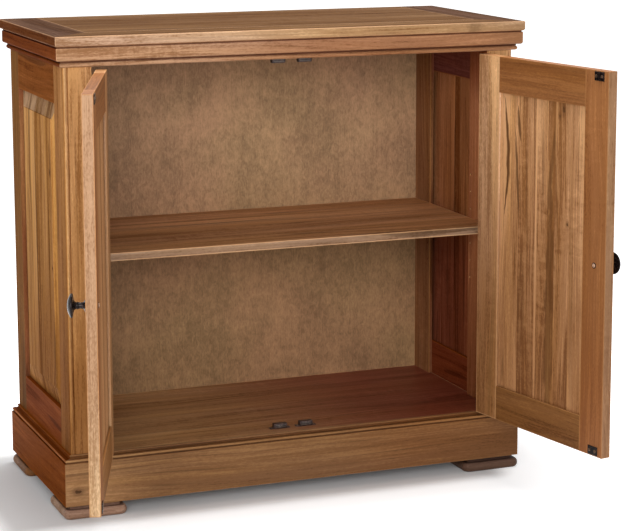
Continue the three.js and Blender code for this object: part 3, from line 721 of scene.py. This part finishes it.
# %% Top board and mouldings
# The tinted bands of the mouldings are painted: shade in the quirks of the cornice and in the cove and quirk
# of the base, and a highlight on the base bead, which is also worn.
CORNICE_QUIRKS = ((0.9422, 0.9450), (0.9130, 0.9167))
BASE_COVE = (0.1227, 0.1265)
BASE_QUIRK = (0.1153, 0.1169)
QUIRK_SHADE = (0.3, 0.2, 0.16)
SOFT_LINE = 0.0008
BASE_BEAD = (0.1180, 0.1218)
cornice_quirk_shade = [("Z", low, high, SOFT_LINE, QUIRK_SHADE) for low, high in CORNICE_QUIRKS]
base_shade_and_highlight = [("Z", *BASE_COVE, SOFT_LINE, (0.7, 0.6, 0.52)), ("Z", *BASE_QUIRK, SOFT_LINE, (0.5, 0.4, 0.34)),
              ("Z", *BASE_BEAD, SOFT_LINE, (1.3, 1.4, 1.5))]
side_bead_worn_highlight = [("Z", *BASE_BEAD, SOFT_LINE, (1.15, 1.45, 3.4))]
left_end, right_end = case_front.x - 0.6, case_front.x + 0.6


def painted_upright_light(top_tint, foot_tint):
    """Painted light and shade: paler towards the top of the case and darker towards its foot."""
    return [("Z", 0.85, 1.2, 0.5, top_tint), ("Z", -0.2, 0.2, 0.35, foot_tint)]


side_painted_light = painted_upright_light((1.42, 1.52, 1.7), (0.8, 0.73, 0.65))
# Painted light: paler towards the left end of the case.
rail_painted_light = [("X", left_end, case_front.x - 0.3, 0.4, (1.24, 1.36, 1.7))]
cornice_painted_light = [("X", left_end, case_front.x - 0.3, 0.4, (1.38, 1.75, 2.3))]
plinth_painted_light = [("X", left_end, case_front.x - 0.43, 0.15, (1.6, 1.7, 1.75)),
               ("X", left_end, case_front.x, 0.3, (1.04, 1.18, 1.4))]
# Painted shade on the faces that look up, which the overhead lamp lights strongly.
top_face_painted_shade = (Z, (0.207, 0.181, 0.125))
end_top_painted_shade = (Z, (0.155, 0.135, 0.13))
low_gloss = 0.004
# The front face of the top front rail gets painted light.
stain_board("top_front_rail", X, Y, TAN, 1.3, mineral=0.2, specular=low_gloss,
            face_tints=[top_face_painted_shade, (-Y, (1.04, 1.16, 1.2))],
            face_bands=[(-Y, *painted_band) for painted_band in rail_painted_light],
            knot_marks=[(0.388, -0.05, 0.0065)])
for count, (side, outward) in enumerate((("left", -X), ("right", X))):
    stain_board(f"top_{side}_end", Y, X, TAN, 2.1 + 1.6 * count, mineral=0.2, worn_highlight=0.3, specular=low_gloss,
                face_tints=[end_top_painted_shade, (outward, (0.33, 0.175, 0.064))])
stain_board("top_field", X, Y, TAN, 4.2, strip_width=0.09, strip_contrast=0.25, mineral=0.3,
            worn_highlight=0.1, specular=low_gloss, face_tints=[top_face_painted_shade])
stain_board("cornice_front", X, Z, BISCUIT, 5.9, mineral=0.3, bands=cornice_quirk_shade + cornice_painted_light)
stain_board("plinth_front", X, Z, TOBACCO, 8.8, mineral=0.3, lines=0.7, bands=base_shade_and_highlight + plinth_painted_light,
            knot_marks=[(-0.476, -0.022, 0.0045)])
for count, (side, outward) in enumerate((("left", -X), ("right", X))):
    stain_board(f"cornice_{side}", Y, Z, RUSSET, 6.4 + 1.3 * count, specular=low_gloss, bands=cornice_quirk_shade)
    stain_board(f"plinth_{side}", Y, Z, RUST, 9.1 + 1.5 * count, specular=low_gloss,
                bands=base_shade_and_highlight + side_bead_worn_highlight)
print("mouldings stained")

# %% Side frames and panels
side_boards = {
    "corner_post": (Z, Y, FAWN), "rear_stile": (Z, Y, CHESTNUT), "side_top_rail": (Y, Z, BRICK),
    "side_bottom_rail": (Y, Z, RUSSET)}
SIDE_PLANKS = [
    (0.0, 0.1, 0.05), (0.16, -0.16, 0.05), (0.27, 0.08, -0.05), (0.4, -0.04, 0.1), (0.5, -0.2, 0.15),
    (0.58, 0.12, -0.1), (0.8, 0.26, -0.12)]
SIDE_STREAKS = [
    (0.04, 0.022, 0.52, 0.011, 0.002, 0.002, 0.6),
    (0.02, -0.078, 0.2, 0.008, 0.0, 0.0, 0.55),
    (0.2, -0.098, 0.07, 0.008, 0.004, 0.004, 0.7),
    (0.19, -0.09, 0.06, 0.006, -0.004, -0.003, 0.6),
    (-0.12, 0.06, 0.3, 0.006, 0.0, 0.003, 0.45),
]
SIDE_KNOTS = [(0.165, -0.094, 0.004), (-0.03, -0.1, 0.0025)]
# Painted light on two bevels of the raised field: the rear one paler, the upper one greyer.
REAR_BEVEL_LIGHT = (1.5, 1.9, 3.1)
UPPER_BEVEL_LIGHT = (0.72, 0.84, 1.3)
# Painted light on the front face of the corner post.
POST_FRONT_LIGHT = (1.25, 1.5, 1.95)
# Painted light and shade on the faces inside the case, and painted shade towards their top and foot.
INNER_LIGHT_AND_SHADE = {
    "corner_post": (0.95, 0.85, 1.15), "rear_stile": (1.07, 1.15, 1.8), "side_top_rail": (0.5, 0.47, 1.9),
    "side_bottom_rail": (0.95, 0.95, 2.5)}
INSIDE_TOP_SHADE = ("Z", 0.86, 1.05, 0.1)
INSIDE_FOOT_SHADE = ("Z", 0.0, 0.5, 0.1)
PANEL_FOOT_SHADE = ("Z", 0.0, 0.42, 0.15)
CORNER_BEAD = 7.5 * MM
CORNER_QUIRK = 1.8 * MM
CORNER_ROUND = 1.2 * MM


def corner_bead_light_and_shade(post, outward):
    """A painted highlight on the bead and painted shade in the quirk beside it, up the outer corner of a
    post.
    """
    low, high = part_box(post)
    edge = high.x if outward.x > 0 else low.x
    lines = []
    for start, end, tint in ((CORNER_ROUND, CORNER_BEAD, (1.2, 1.3, 1.45)),
                             (CORNER_BEAD, CORNER_BEAD + CORNER_QUIRK, (0.55, 0.5, 0.45))):
        lines.append(("X", *sorted((edge - outward.x * start, edge - outward.x * end)), SOFT_LINE / 2, tint))
    return lines


for count, (side, outward) in enumerate((("left", -X), ("right", X))):
    for place, (part, (along, across, stain)) in enumerate(side_boards.items()):
        tints = [(-outward, INNER_LIGHT_AND_SHADE[part])]
        if part == "rear_stile":
            tints.append((-Y, INNER_LIGHT_AND_SHADE[part]))
        bands = ()
        face_bands = ()
        if part == "rear_stile":
            face_bands = [(-Y, *INSIDE_FOOT_SHADE, (0.8, 0.66, 0.7)), (-Y, *INSIDE_TOP_SHADE, (0.97, 0.7, 0.85))]
        if part == "corner_post":
            tints.append((-Y, POST_FRONT_LIGHT))
            bands = corner_bead_light_and_shade(f"{side}_{part}", outward) + side_painted_light
            face_bands = [(-outward, *INSIDE_TOP_SHADE, (0.5, 0.38, 0.34))]
        stain_board(f"{side}_{part}", along, across, stain, 11.3 + 7.1 * count + 1.7 * place, mineral=0.5,
                    specular=low_gloss, face_tints=tints, bands=bands, face_bands=face_bands)
    panel = f"{side}_side_panel"
    slopes = bevel_directions(panel, outward)
    stain_board(panel, Z, Y, AMBER, 31.5 + 5.3 * count, planks=SIDE_PLANKS, specular=low_gloss,
                streaks=0.6, mineral=0.55, knots=0.8, lines=0.5, corner_shade=0.35, streak_marks=SIDE_STREAKS,
                knot_marks=SIDE_KNOTS,
                face_tints=[(-outward, INNER_FACE_SHADE), (slopes["up"], UPPER_BEVEL_LIGHT), (slopes["rear"], REAR_BEVEL_LIGHT)],
                face_bands=[(-outward, *PANEL_FOOT_SHADE, (0.6, 0.42, 0.5)),
                            *((outward, *painted_band) for painted_band in side_painted_light)])
# Painted shade in the neck between each foot's pad and the plinth. The front left foot is paler and the front
# right one darker, partly as painted light and shade.
FOOT_NECK = (0.0195, 0.03)
FOOT_STAINS_LIGHT_AND_SHADE = {
    "front_left": (0.28, 0.158, 0.098), "front_right": (0.12, 0.065, 0.042),
    "rear_left": TOBACCO, "rear_right": TOBACCO}
for count, (foot, stain) in enumerate(FOOT_STAINS_LIGHT_AND_SHADE.items()):
    stain_board(f"{foot}_foot", X, Y, stain, 41.1 + 2.3 * count,
                bands=[("Z", *FOOT_NECK, SOFT_LINE, (0.45, 0.4, 0.4))])
print("sides stained, bevels of the last panel:", sorted(slopes))

# %% Inside boards
stain_board("front_header", X, Z, UMBER, 51.0)
# Painted light on the floor's front edge and towards its left end, painted shade towards its right end.
stain_board("floor_panel", X, Y, SIENNA, 52.7, strip_width=0.11, strip_contrast=0.3, roughness=0.4,
            lines=0.3, face_tints=[(-Y, (1.36, 1.56, 2.05))],
            bands=[("X", case_front.x + 0.3, right_end, 0.6, (0.5, 0.22, 0.25)),
                   ("X", left_end, case_front.x - 0.3, 0.3, (1.16, 1.14, 1.14))])
# Painted shade on the shelf's front edge.
stain_board("shelf", X, Y, WALNUT, 53.9, strip_width=0.1, strip_contrast=0.35, lines=0.3,
            mineral=0.6, face_tints=[(-Y, (0.6, 0.73, 0.98))])

# %% Doors
# Planks run from the free edge to the hinge. A streak is (along, across, length, width, bend,
# slant, strength) and a knot is (along, across, radius), from the middle of the panel. The right
# door gets painted light, paler towards its top, on its inner face and free edge, which the
# photograph shows. It lies on those two only, so that it doesn't show when the doors are closed.
DOOR_PLANKS = [
    (0.0, 0.22, -0.05), (0.19, 0.1, -0.12), (0.352, -0.12, 0.14), (0.43, 0.1, -0.05), (0.55, 0.4, -0.1),
    (0.57, -0.02, 0.0), (0.76, 0.3, -0.08)]
RIGHT_STREAKS = [
    (0.182, 0.128, 0.25, 0.013, -0.0135, 0.002, 0.95),
    (0.253, 0.0777, 0.075, 0.012, 0.0, 0.0045, 0.85),
    (0.152, 0.0836, 0.19, 0.009, 0.0, 0.008, 0.8),
    (0.168, -0.0306, 0.19, 0.018, 0.0, -0.0122, 0.6),
    (-0.15, -0.0283, 0.62, 0.036, 0.0, -0.002, 0.6),
    (0.11, 0.048, 0.26, 0.005, 0.003, 0.003, 0.5),
    (-0.14, 0.066, 0.30, 0.028, 0.0, 0.0, 0.2),
    (0.20, -0.118, 0.16, 0.003, 0.0, 0.0, 0.5),
]
RIGHT_KNOTS = [(0.2956, -0.0686, 0.0042), (0.282, -0.0564, 0.0028), (0.068, -0.085, 0.0028)]
DOOR_PAINTED_LIGHT = {
    "hinge_stile": painted_upright_light((1.98, 2.4, 2.9), (0.87, 0.84, 0.75)),
    "free_stile": painted_upright_light((1.3, 1.35, 1.4), (0.87, 0.8, 0.75))}
panel_painted_light = painted_upright_light((1.38, 1.48, 1.6), (0.9, 0.87, 0.82))
# Painted light: the left door's edge face is paler towards its foot.
EDGE_FOOT_LIGHT = ("Z", -0.2, 0.12, 0.3, (1.5, 1.75, 1.85))
door_boards = {
    "hinge_stile": (Z, X, (0.378, 0.186, 0.08)), "free_stile": (Z, X, (0.29, 0.114, 0.036)),
    "top_rail": (X, Z, (0.245, 0.095, 0.029)), "bottom_rail": (X, Z, (0.22, 0.094, 0.029))}
for count, (side, outward) in enumerate((("left", X), ("right", -X))):
    edge = turned(outward, side)
    inner = turned(Y, side)
    for place, (part, (along, across, stain)) in enumerate(door_boards.items()):
        painted_bands = [(edge, *EDGE_FOOT_LIGHT)]
        if side == "right":
            painted_bands = [(face, *painted_band) for face in (inner, edge) for painted_band in DOOR_PAINTED_LIGHT.get(part, ())]
        stain_board(f"{side}_door_{part}", turned(along, side), turned(across, side), stain,
                    61.3 + 9.7 * count + 1.9 * place, streaks=0.45 if side == "right" else 0.25, mineral=0.3,
                    curl=0.4 if side == "right" else 0.1,
                    face_tints=[(edge, FREE_EDGE_LIGHT[side] if part == "free_stile" else DOOR_EDGE_LIGHT),
                                (-edge, HINGE_EDGE_SHADE)],
                    face_bands=painted_bands)
stain_board("left_door_panel", turned(Z, "left"), turned(X, "left"), HAY, 83.1, planks=DOOR_PLANKS,
            mineral=0.6, corner_shade=0.35)
stain_board("right_door_panel", turned(Z, "right"), turned(X, "right"), HAY, 87.5, planks=DOOR_PLANKS,
            drift=0.8, streaks=0.75, mineral=0.5, curl=0.6, corner_shade=0.35,
            streak_marks=RIGHT_STREAKS, knot_marks=RIGHT_KNOTS,
            face_bands=[(turned(Y, "right"), *painted_band) for painted_band in panel_painted_light])
print("doors stained")

# %% [markdown]
# ## The plywood back
# Plywood is cut from the log as a veneer, so its figure is cloudy and wide, with short fine
# fibres up the sheet. Stain takes unevenly on it and leaves lighter and darker clouds. The lower
# half is tinted darker, as in the photograph: painted shade, where the shelf shades the sheet.

# %% Stain the back
def stain_back(node, stain, seed):
    material, tree, shader = new_material(f"{node}_stain")
    coordinates, place, half = board_place(tree, node, Z, X)
    wood = fill_group(tree, figure, {
        "Vector": place, "Seed": seed, "Drift": 0.2, "Streaks": 0.2, "Dark Lines": 0.0,
        "Mineral": 0.0, "Knots": 0.0, "Curl": 0.0})
    cloud = stretched_noise(tree, place, 5.5, 7.0, 5.0, 0.62)
    mottle = stretched_noise(tree, place, 55.0, 75.0, 3.0, 0.7, 0.6)
    fine = stretched_noise(tree, place, 110.0, 330.0, 2.0, 0.6)
    tone = plus(tree, times(tree, wood["Tone"], 0.5), times(tree, cloud, 0.95))
    tone = plus(tree, tone, times(tree, minus(tree, mottle, 0.5), 0.9))
    tone = plus(tree, tone, times(tree, minus(tree, fine, 0.5), 0.6))
    colour = blend_colours(tree, ramp_mask(tree, tone, 0.3, 1.15), shade(stain, 0.72), shade(stain, 1.5))
    pink = stretched_noise(tree, place, 3.0, 2.6, 3.0)
    greenish, pinkish = (0.98, 1.02, 0.98, 1), (1.02, 0.985, 1.01, 1)
    tint = blend_colours(tree, ramp_mask(tree, pink, 0.36, 0.64), greenish, pinkish)
    colour = blend_colours(tree, 1.0, colour, tint, "MULTIPLY")
    height = split(tree, coordinates["Object"])["Z"]
    # Painted shade: the lower half is darker, where the shelf shades the sheet.
    foot = ramp_mask(tree, height, 0.42, 0.62, 1.0, 0.0)
    colour = tinted(tree, foot, colour, (0.81, 0.77, 0.69))
    tree.links.new(colour, shader.inputs["Base Color"])
    shader.inputs["Roughness"].default_value = 0.6
    shader.inputs["Specular IOR Level"].default_value = 0.15
    emboss(tree, shader, fine, 0.3, 0.3 * MM)
    nodes[node].material_slots[0].material = material


stain_back("back_panel", TAUPE, 91.0)
print("back stained")

# %% [markdown]
# ## Dark bronze
# The fittings are oiled bronze: near black, a little uneven, and brown where hands have
# rubbed them. Metal with this finish is more lacquer than mirror, so it is only partly
# metallic, and slow noise varies how rough it is.

# %% The bronze and the screw metals
def metal_finish(name, dark, light, metalness, roughness, specular=0.5):
    material, tree, shader = new_material(name)
    place = add_node(tree, "ShaderNodeTexCoord").outputs["Object"]
    patch = stretched_noise(tree, place, 160.0, 160.0, 3.0, 0.6)
    grit = stretched_noise(tree, place, 1400.0, 1400.0, 2.0, 0.5)
    colour = blend_colours(tree, ramp_mask(tree, patch, 0.42, 0.7), (*dark, 1), (*light, 1))
    tree.links.new(colour, shader.inputs["Base Color"])
    tree.links.new(ramp_mask(tree, patch, 0.3, 0.7, roughness - 0.07, roughness + 0.1),
                   shader.inputs["Roughness"])
    shader.inputs["Metallic"].default_value = metalness
    shader.inputs["Specular IOR Level"].default_value = specular
    emboss(tree, shader, grit, 0.2, 0.2 * MM)
    return material


catch_brown = metal_finish("brown_catch", (0.03, 0.017, 0.015), (0.1, 0.06, 0.05), 0.35, 0.42)
bronze = metal_finish("dark_bronze", (0.014, 0.010, 0.010), (0.044, 0.027, 0.022), 0.45, 0.24, specular=0.2)
copper = metal_finish("copper_screw", (0.5, 0.3, 0.2), (0.72, 0.5, 0.36), 0.6, 0.35)
brown_screw = metal_finish("brown_screw", (0.09, 0.05, 0.03), (0.2, 0.12, 0.075), 0.7, 0.4)
pin_steel = metal_finish("pin_steel", (0.10, 0.085, 0.075), (0.2, 0.17, 0.15), 0.8, 0.4)
for name, node in nodes.items():
    if any(word in name for word in ("hinge_door", "hinge_case", "strike")):
        node.material_slots[0].material = bronze
    elif "shelf_pin" in name:
        node.material_slots[0].material = pin_steel

# %% [markdown]
# ## Knobs
# A knob is turned, so it is drawn as half an outline and spun. The rough outline in the frame
# gets what a turner adds: a stepped foot, a ring on the neck and a groove round the crown. The
# neck and crown are drawn with few points, and a smooth curve through them gives the rest.

# %% Functions for turned and screwed pieces
def through_points(points, steps):
    """More points on a smooth curve that passes through the given ones."""
    curve = []
    for place in range(len(points) - 1):
        before, start, end, after = (
            Vector(points[min(max(place + offset, 0), len(points) - 1)]) for offset in (-1, 0, 1, 2))
        straight = end - before
        bend = 2 * before - 5 * start + 4 * end - after
        twist = 3 * start - before - 3 * end + after
        for step in range(steps):
            t = step / steps
            curve.append(0.5 * (2 * start + straight * t + bend * t**2 + twist * t**3))
    curve.append(Vector(points[-1]))
    return curve


def add_rings(builder, rings):
    """Closes a row of rings of points into a skin. A ring of one point is a pole."""
    corners = [[builder.verts.new(point) for point in ring] for ring in rings]
    for lower, upper in zip(corners, corners[1:]):
        count = max(len(lower), len(upper))
        for place in range(count):
            after = (place + 1) % count
            face = [lower[place % len(lower)], lower[after % len(lower)],
                    upper[after % len(upper)], upper[place % len(upper)]]
            builder.faces.new(list(dict.fromkeys(face)))


def finish_piece(name, builder, material, body, smooth_angle=40):
    """Turns the built skin into a smooth object that rides on a body."""
    bmesh.ops.recalc_face_normals(builder, faces=builder.faces)
    for face in builder.faces:
        face.smooth = True
    for edge in builder.edges:
        edge.smooth = len(edge.link_faces) == 2 and edge.calc_face_angle() < math.radians(smooth_angle)
    mesh = bpy.data.meshes.new(name)
    builder.to_mesh(mesh)
    builder.free()
    mesh.materials.append(material)
    piece = bpy.data.objects.new(name, mesh)
    bpy.context.scene.collection.objects.link(piece)
    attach(piece, body)
    return piece


SCREW_HEADS_MM = {"knob": (4.2, 2.0), "catch": (2.7, 1.3), "strike": (3.4, 1.1)}


def add_screw(builder, centre, outward, upward, kind):
    """A pan-head screw with a cross recess, standing on a face. Its radius and height are looked up."""
    radius, height = (length * MM for length in SCREW_HEADS_MM[kind])
    aside = upward.cross(outward)
    sides, levels = 40, 10
    dome, recess_depth, recess_reach, recess_half_width = 0.45, 0.5, 0.62, 0.13
    rings = []
    for level in range(levels + 1):
        share = 1 - level / levels
        ring = []
        for side in range(sides if share else 1):
            angle = 2 * math.pi * side / sides
            flat = Vector((math.cos(angle), math.sin(angle))) * share
            rise = height * (1 - dome * share**4)
            if share < recess_reach and min(abs(flat.x), abs(flat.y)) < recess_half_width:
                rise -= height * recess_depth
            ring.append(centre + (aside * flat.x + upward * flat.y) * radius + outward * rise)
        rings.append(ring)
    foot = [centre + (aside * math.cos(2 * math.pi * side / sides)
                      + upward * math.sin(2 * math.pi * side / sides)) * radius for side in range(sides)]
    add_rings(builder, [[centre], foot, *rings])


# %% Turn the knobs
KNOB_STEM_MM = [
    (13.4, 0.0), (13.6, 0.7), (13.5, 1.5), (12.8, 2.2), (11.2, 2.6), (10.4, 2.7), (10.0, 3.2), (8.3, 3.9),
    (6.8, 5.2), (6.0, 7.2), (5.7, 10.0), (5.7, 13.4), (5.8, 14.2), (6.7, 14.8), (7.0, 15.7), (6.7, 16.6),
    (6.0, 17.1), (6.4, 19.0), (7.6, 20.9), (9.6, 22.3), (13.2, 23.5), (17.6, 24.2), (20.9, 24.7)]
KNOB_CROWN_MM = [
    (20.9, 24.7), (22.0, 25.4), (22.3, 26.4), (22.0, 27.6), (21.0, 28.8), (19.6, 29.9), (18.7, 30.4),
    (18.1, 30.3), (17.5, 30.8), (14.6, 32.3), (10.6, 33.7), (6.2, 34.6), (2.6, 34.93), (0.0, 35.0)]
KNOB_SIDES = 72
BOLT_RADIUS = 2.0 * MM
DOOR_THICKNESS = 21.0 * MM
WASHER_MM = [(2.2, 0.0), (5.6, 0.0), (6.0, 0.3), (5.7, 0.7), (4.6, 0.8), (2.2, 0.8), (2.2, 0.0)]


def turned_ring(centre, to_frame, radius, spokes):
    """Points of a circle about the middle line of a knob."""
    ring = []
    for spoke in range(spokes):
        angle = 2 * math.pi * spoke / KNOB_SIDES
        ring.append(centre + to_frame @ Vector((radius * math.cos(angle), radius * math.sin(angle), 0)))
    return ring


for side in ("left", "right"):
    turn, shift, half = board_space(f"{side}_knob", turned(X, side), Z)
    outward = turned(-Y, side)
    to_frame = turn.transposed()
    middle = to_frame @ -shift
    door_face = middle + outward * (half.z - KNOB_CROWN_MM[-1][1] * MM)
    outline = through_points(KNOB_STEM_MM, 3)[:-1] + through_points(KNOB_CROWN_MM, 3)
    outline = [Vector((0, -DOOR_THICKNESS / MM)), Vector((BOLT_RADIUS / MM, -DOOR_THICKNESS / MM)),
               Vector((BOLT_RADIUS / MM, 0))] + outline
    rings = []
    for radius, rise in (point * MM for point in outline):
        spokes = KNOB_SIDES if radius > MM / 100 else 1
        rings.append(turned_ring(door_face + outward * rise, to_frame, radius, spokes))
    builder = bmesh.new()
    add_rings(builder, rings)
    knob = finish_piece(f"{side}_turned_knob", builder, bronze, f"{side}_door", 30)
    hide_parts(f"{side}_knob")
    builder = bmesh.new()
    inner_face = door_face - outward * DOOR_THICKNESS
    add_screw(builder, inner_face, -outward, Z, "knob")
    finish_piece(f"{side}_knob_screw", builder, copper, f"{side}_door")
    builder = bmesh.new()
    add_rings(builder, [turned_ring(inner_face - outward * rise * MM, to_frame, radius * MM, KNOB_SIDES)
                        for radius, rise in WASHER_MM])
    finish_piece(f"{side}_knob_washer", builder, bronze, f"{side}_door")
print("knobs turned, points in the outline:", len(outline))

# %% [markdown]
# ## Catches and strikes
# Each catch is a magnet in a bronze housing with two steel strips that touch the strike. Its
# foot is screwed down at both ears. The strikes get their two screws.

# %% Build the catches
def add_block(builder, low, high, ease_by):
    """A block with rounded edges."""
    made = bmesh.ops.create_cube(builder, size=1)["verts"]
    middle, size = (low + high) / 2, high - low
    for corner in made:
        corner.co = middle + Vector(part * length for part, length in zip(corner.co, size))
    edges = {edge for corner in made for edge in corner.link_edges}
    bmesh.ops.bevel(builder, geom=list(edges), offset=ease_by, segments=3, profile=0.5, affect="EDGES")


def catch_box(low, high, x_mm, y_mm, z_mm, up):
    """A box given in the catch's own millimetres, from the face that it is screwed to."""
    centre = (low.x + high.x) / 2
    foot = low.z if up else high.z
    way = 1 if up else -1
    heights = sorted(foot + way * z * MM for z in z_mm)
    return (Vector((centre + x_mm[0] * MM, low.y + y_mm[0] * MM, heights[0])),
            Vector((centre + x_mm[1] * MM, low.y + y_mm[1] * MM, heights[1])))


HOUSING_BLOCKS_MM = [
    ((-22, 22), (3, 16), (0, 1.6), 0.5), ((-14.5, 14.5), (1.2, 14), (0, 11), 1.2),
    ((-13, -9.5), (0.6, 12), (8, 10.9), 0.4), ((9.5, 13), (0.6, 12), (8, 10.9), 0.4)]
POLE_STRIPS_MM = [((-11, 11), (0, 6), (3.2, 4.6), 0.3), ((-11, 11), (0, 6), (6.6, 8.0), 0.3)]
EAR_X_MM, EAR_Y_MM, EAR_TOP_MM = 18.3, 9.5, 1.6
for level, up in (("bottom", True), ("top", False)):
    for side in ("left", "right"):
        node = f"{level}_catch_{side}"
        low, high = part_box(node)
        builder = bmesh.new()
        for *spans, easing in HOUSING_BLOCKS_MM:
            add_block(builder, *catch_box(low, high, *spans, up), easing * MM)
        housing = finish_piece(f"{node}_housing", builder, catch_brown, "case")
        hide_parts(node)
        builder = bmesh.new()
        for *spans, easing in POLE_STRIPS_MM:
            add_block(builder, *catch_box(low, high, *spans, up), easing * MM)
        finish_piece(f"{node}_pole_strips", builder, pin_steel, "case")
        builder = bmesh.new()
        for ear in (-EAR_X_MM, EAR_X_MM):
            spans = (ear, ear), (EAR_Y_MM, EAR_Y_MM), (EAR_TOP_MM, EAR_TOP_MM)
            add_screw(builder, catch_box(low, high, *spans, up)[0], Z if up else -Z, Y, "catch")
        finish_piece(f"{node}_screws", builder, brown_screw, "case")

# %% Screw the strikes on
STRIKE_SCREW_X_MM = 8.5
for side in ("left", "right"):
    for level in ("top", "bottom"):
        turn, shift, half = board_space(f"{side}_{level}_strike", turned(X, side), Z)
        to_frame = turn.transposed()
        inward = turned(Y, side)
        face_middle = to_frame @ -shift + inward * half.z
        builder = bmesh.new()
        for offset in (-STRIKE_SCREW_X_MM, STRIKE_SCREW_X_MM):
            add_screw(builder, face_middle + turned(X, side) * offset * MM, inward, Z, "strike")
        finish_piece(f"{side}_{level}_strike_screws", builder, brown_screw, f"{side}_door")
print("strikes screwed on")

# %% [markdown]
# ## Softened arrises
# No finished board has a razor edge: the maker takes sandpaper to it, and that thin rounded
# line is what catches the light. A Bevel modifier adds it without touching the solid.

# %% Ease the boards
EASED_WIDTH = 0.8 * MM
EASED_ABOVE_DEG = 50
wooden = [name for name in nodes if nodes[name].material_slots[0].material.name.endswith("_stain")]
for name in wooden:
    modifier = nodes[name].modifiers.new("eased_arris", "BEVEL")
    modifier.width = EASED_WIDTH
    modifier.segments = 2
    modifier.limit_method = "ANGLE"
    modifier.angle_limit = math.radians(EASED_ABOVE_DEG)
    modifier.harden_normals = True
print("boards with eased arrises:", len(wooden))

# %% [markdown]
# ## Finish
# The dressed piece must keep the size of the CAD model. This last cell sets the view transform.

# %% Set the view transform
bpy.context.scene.view_settings.view_transform = "Standard"
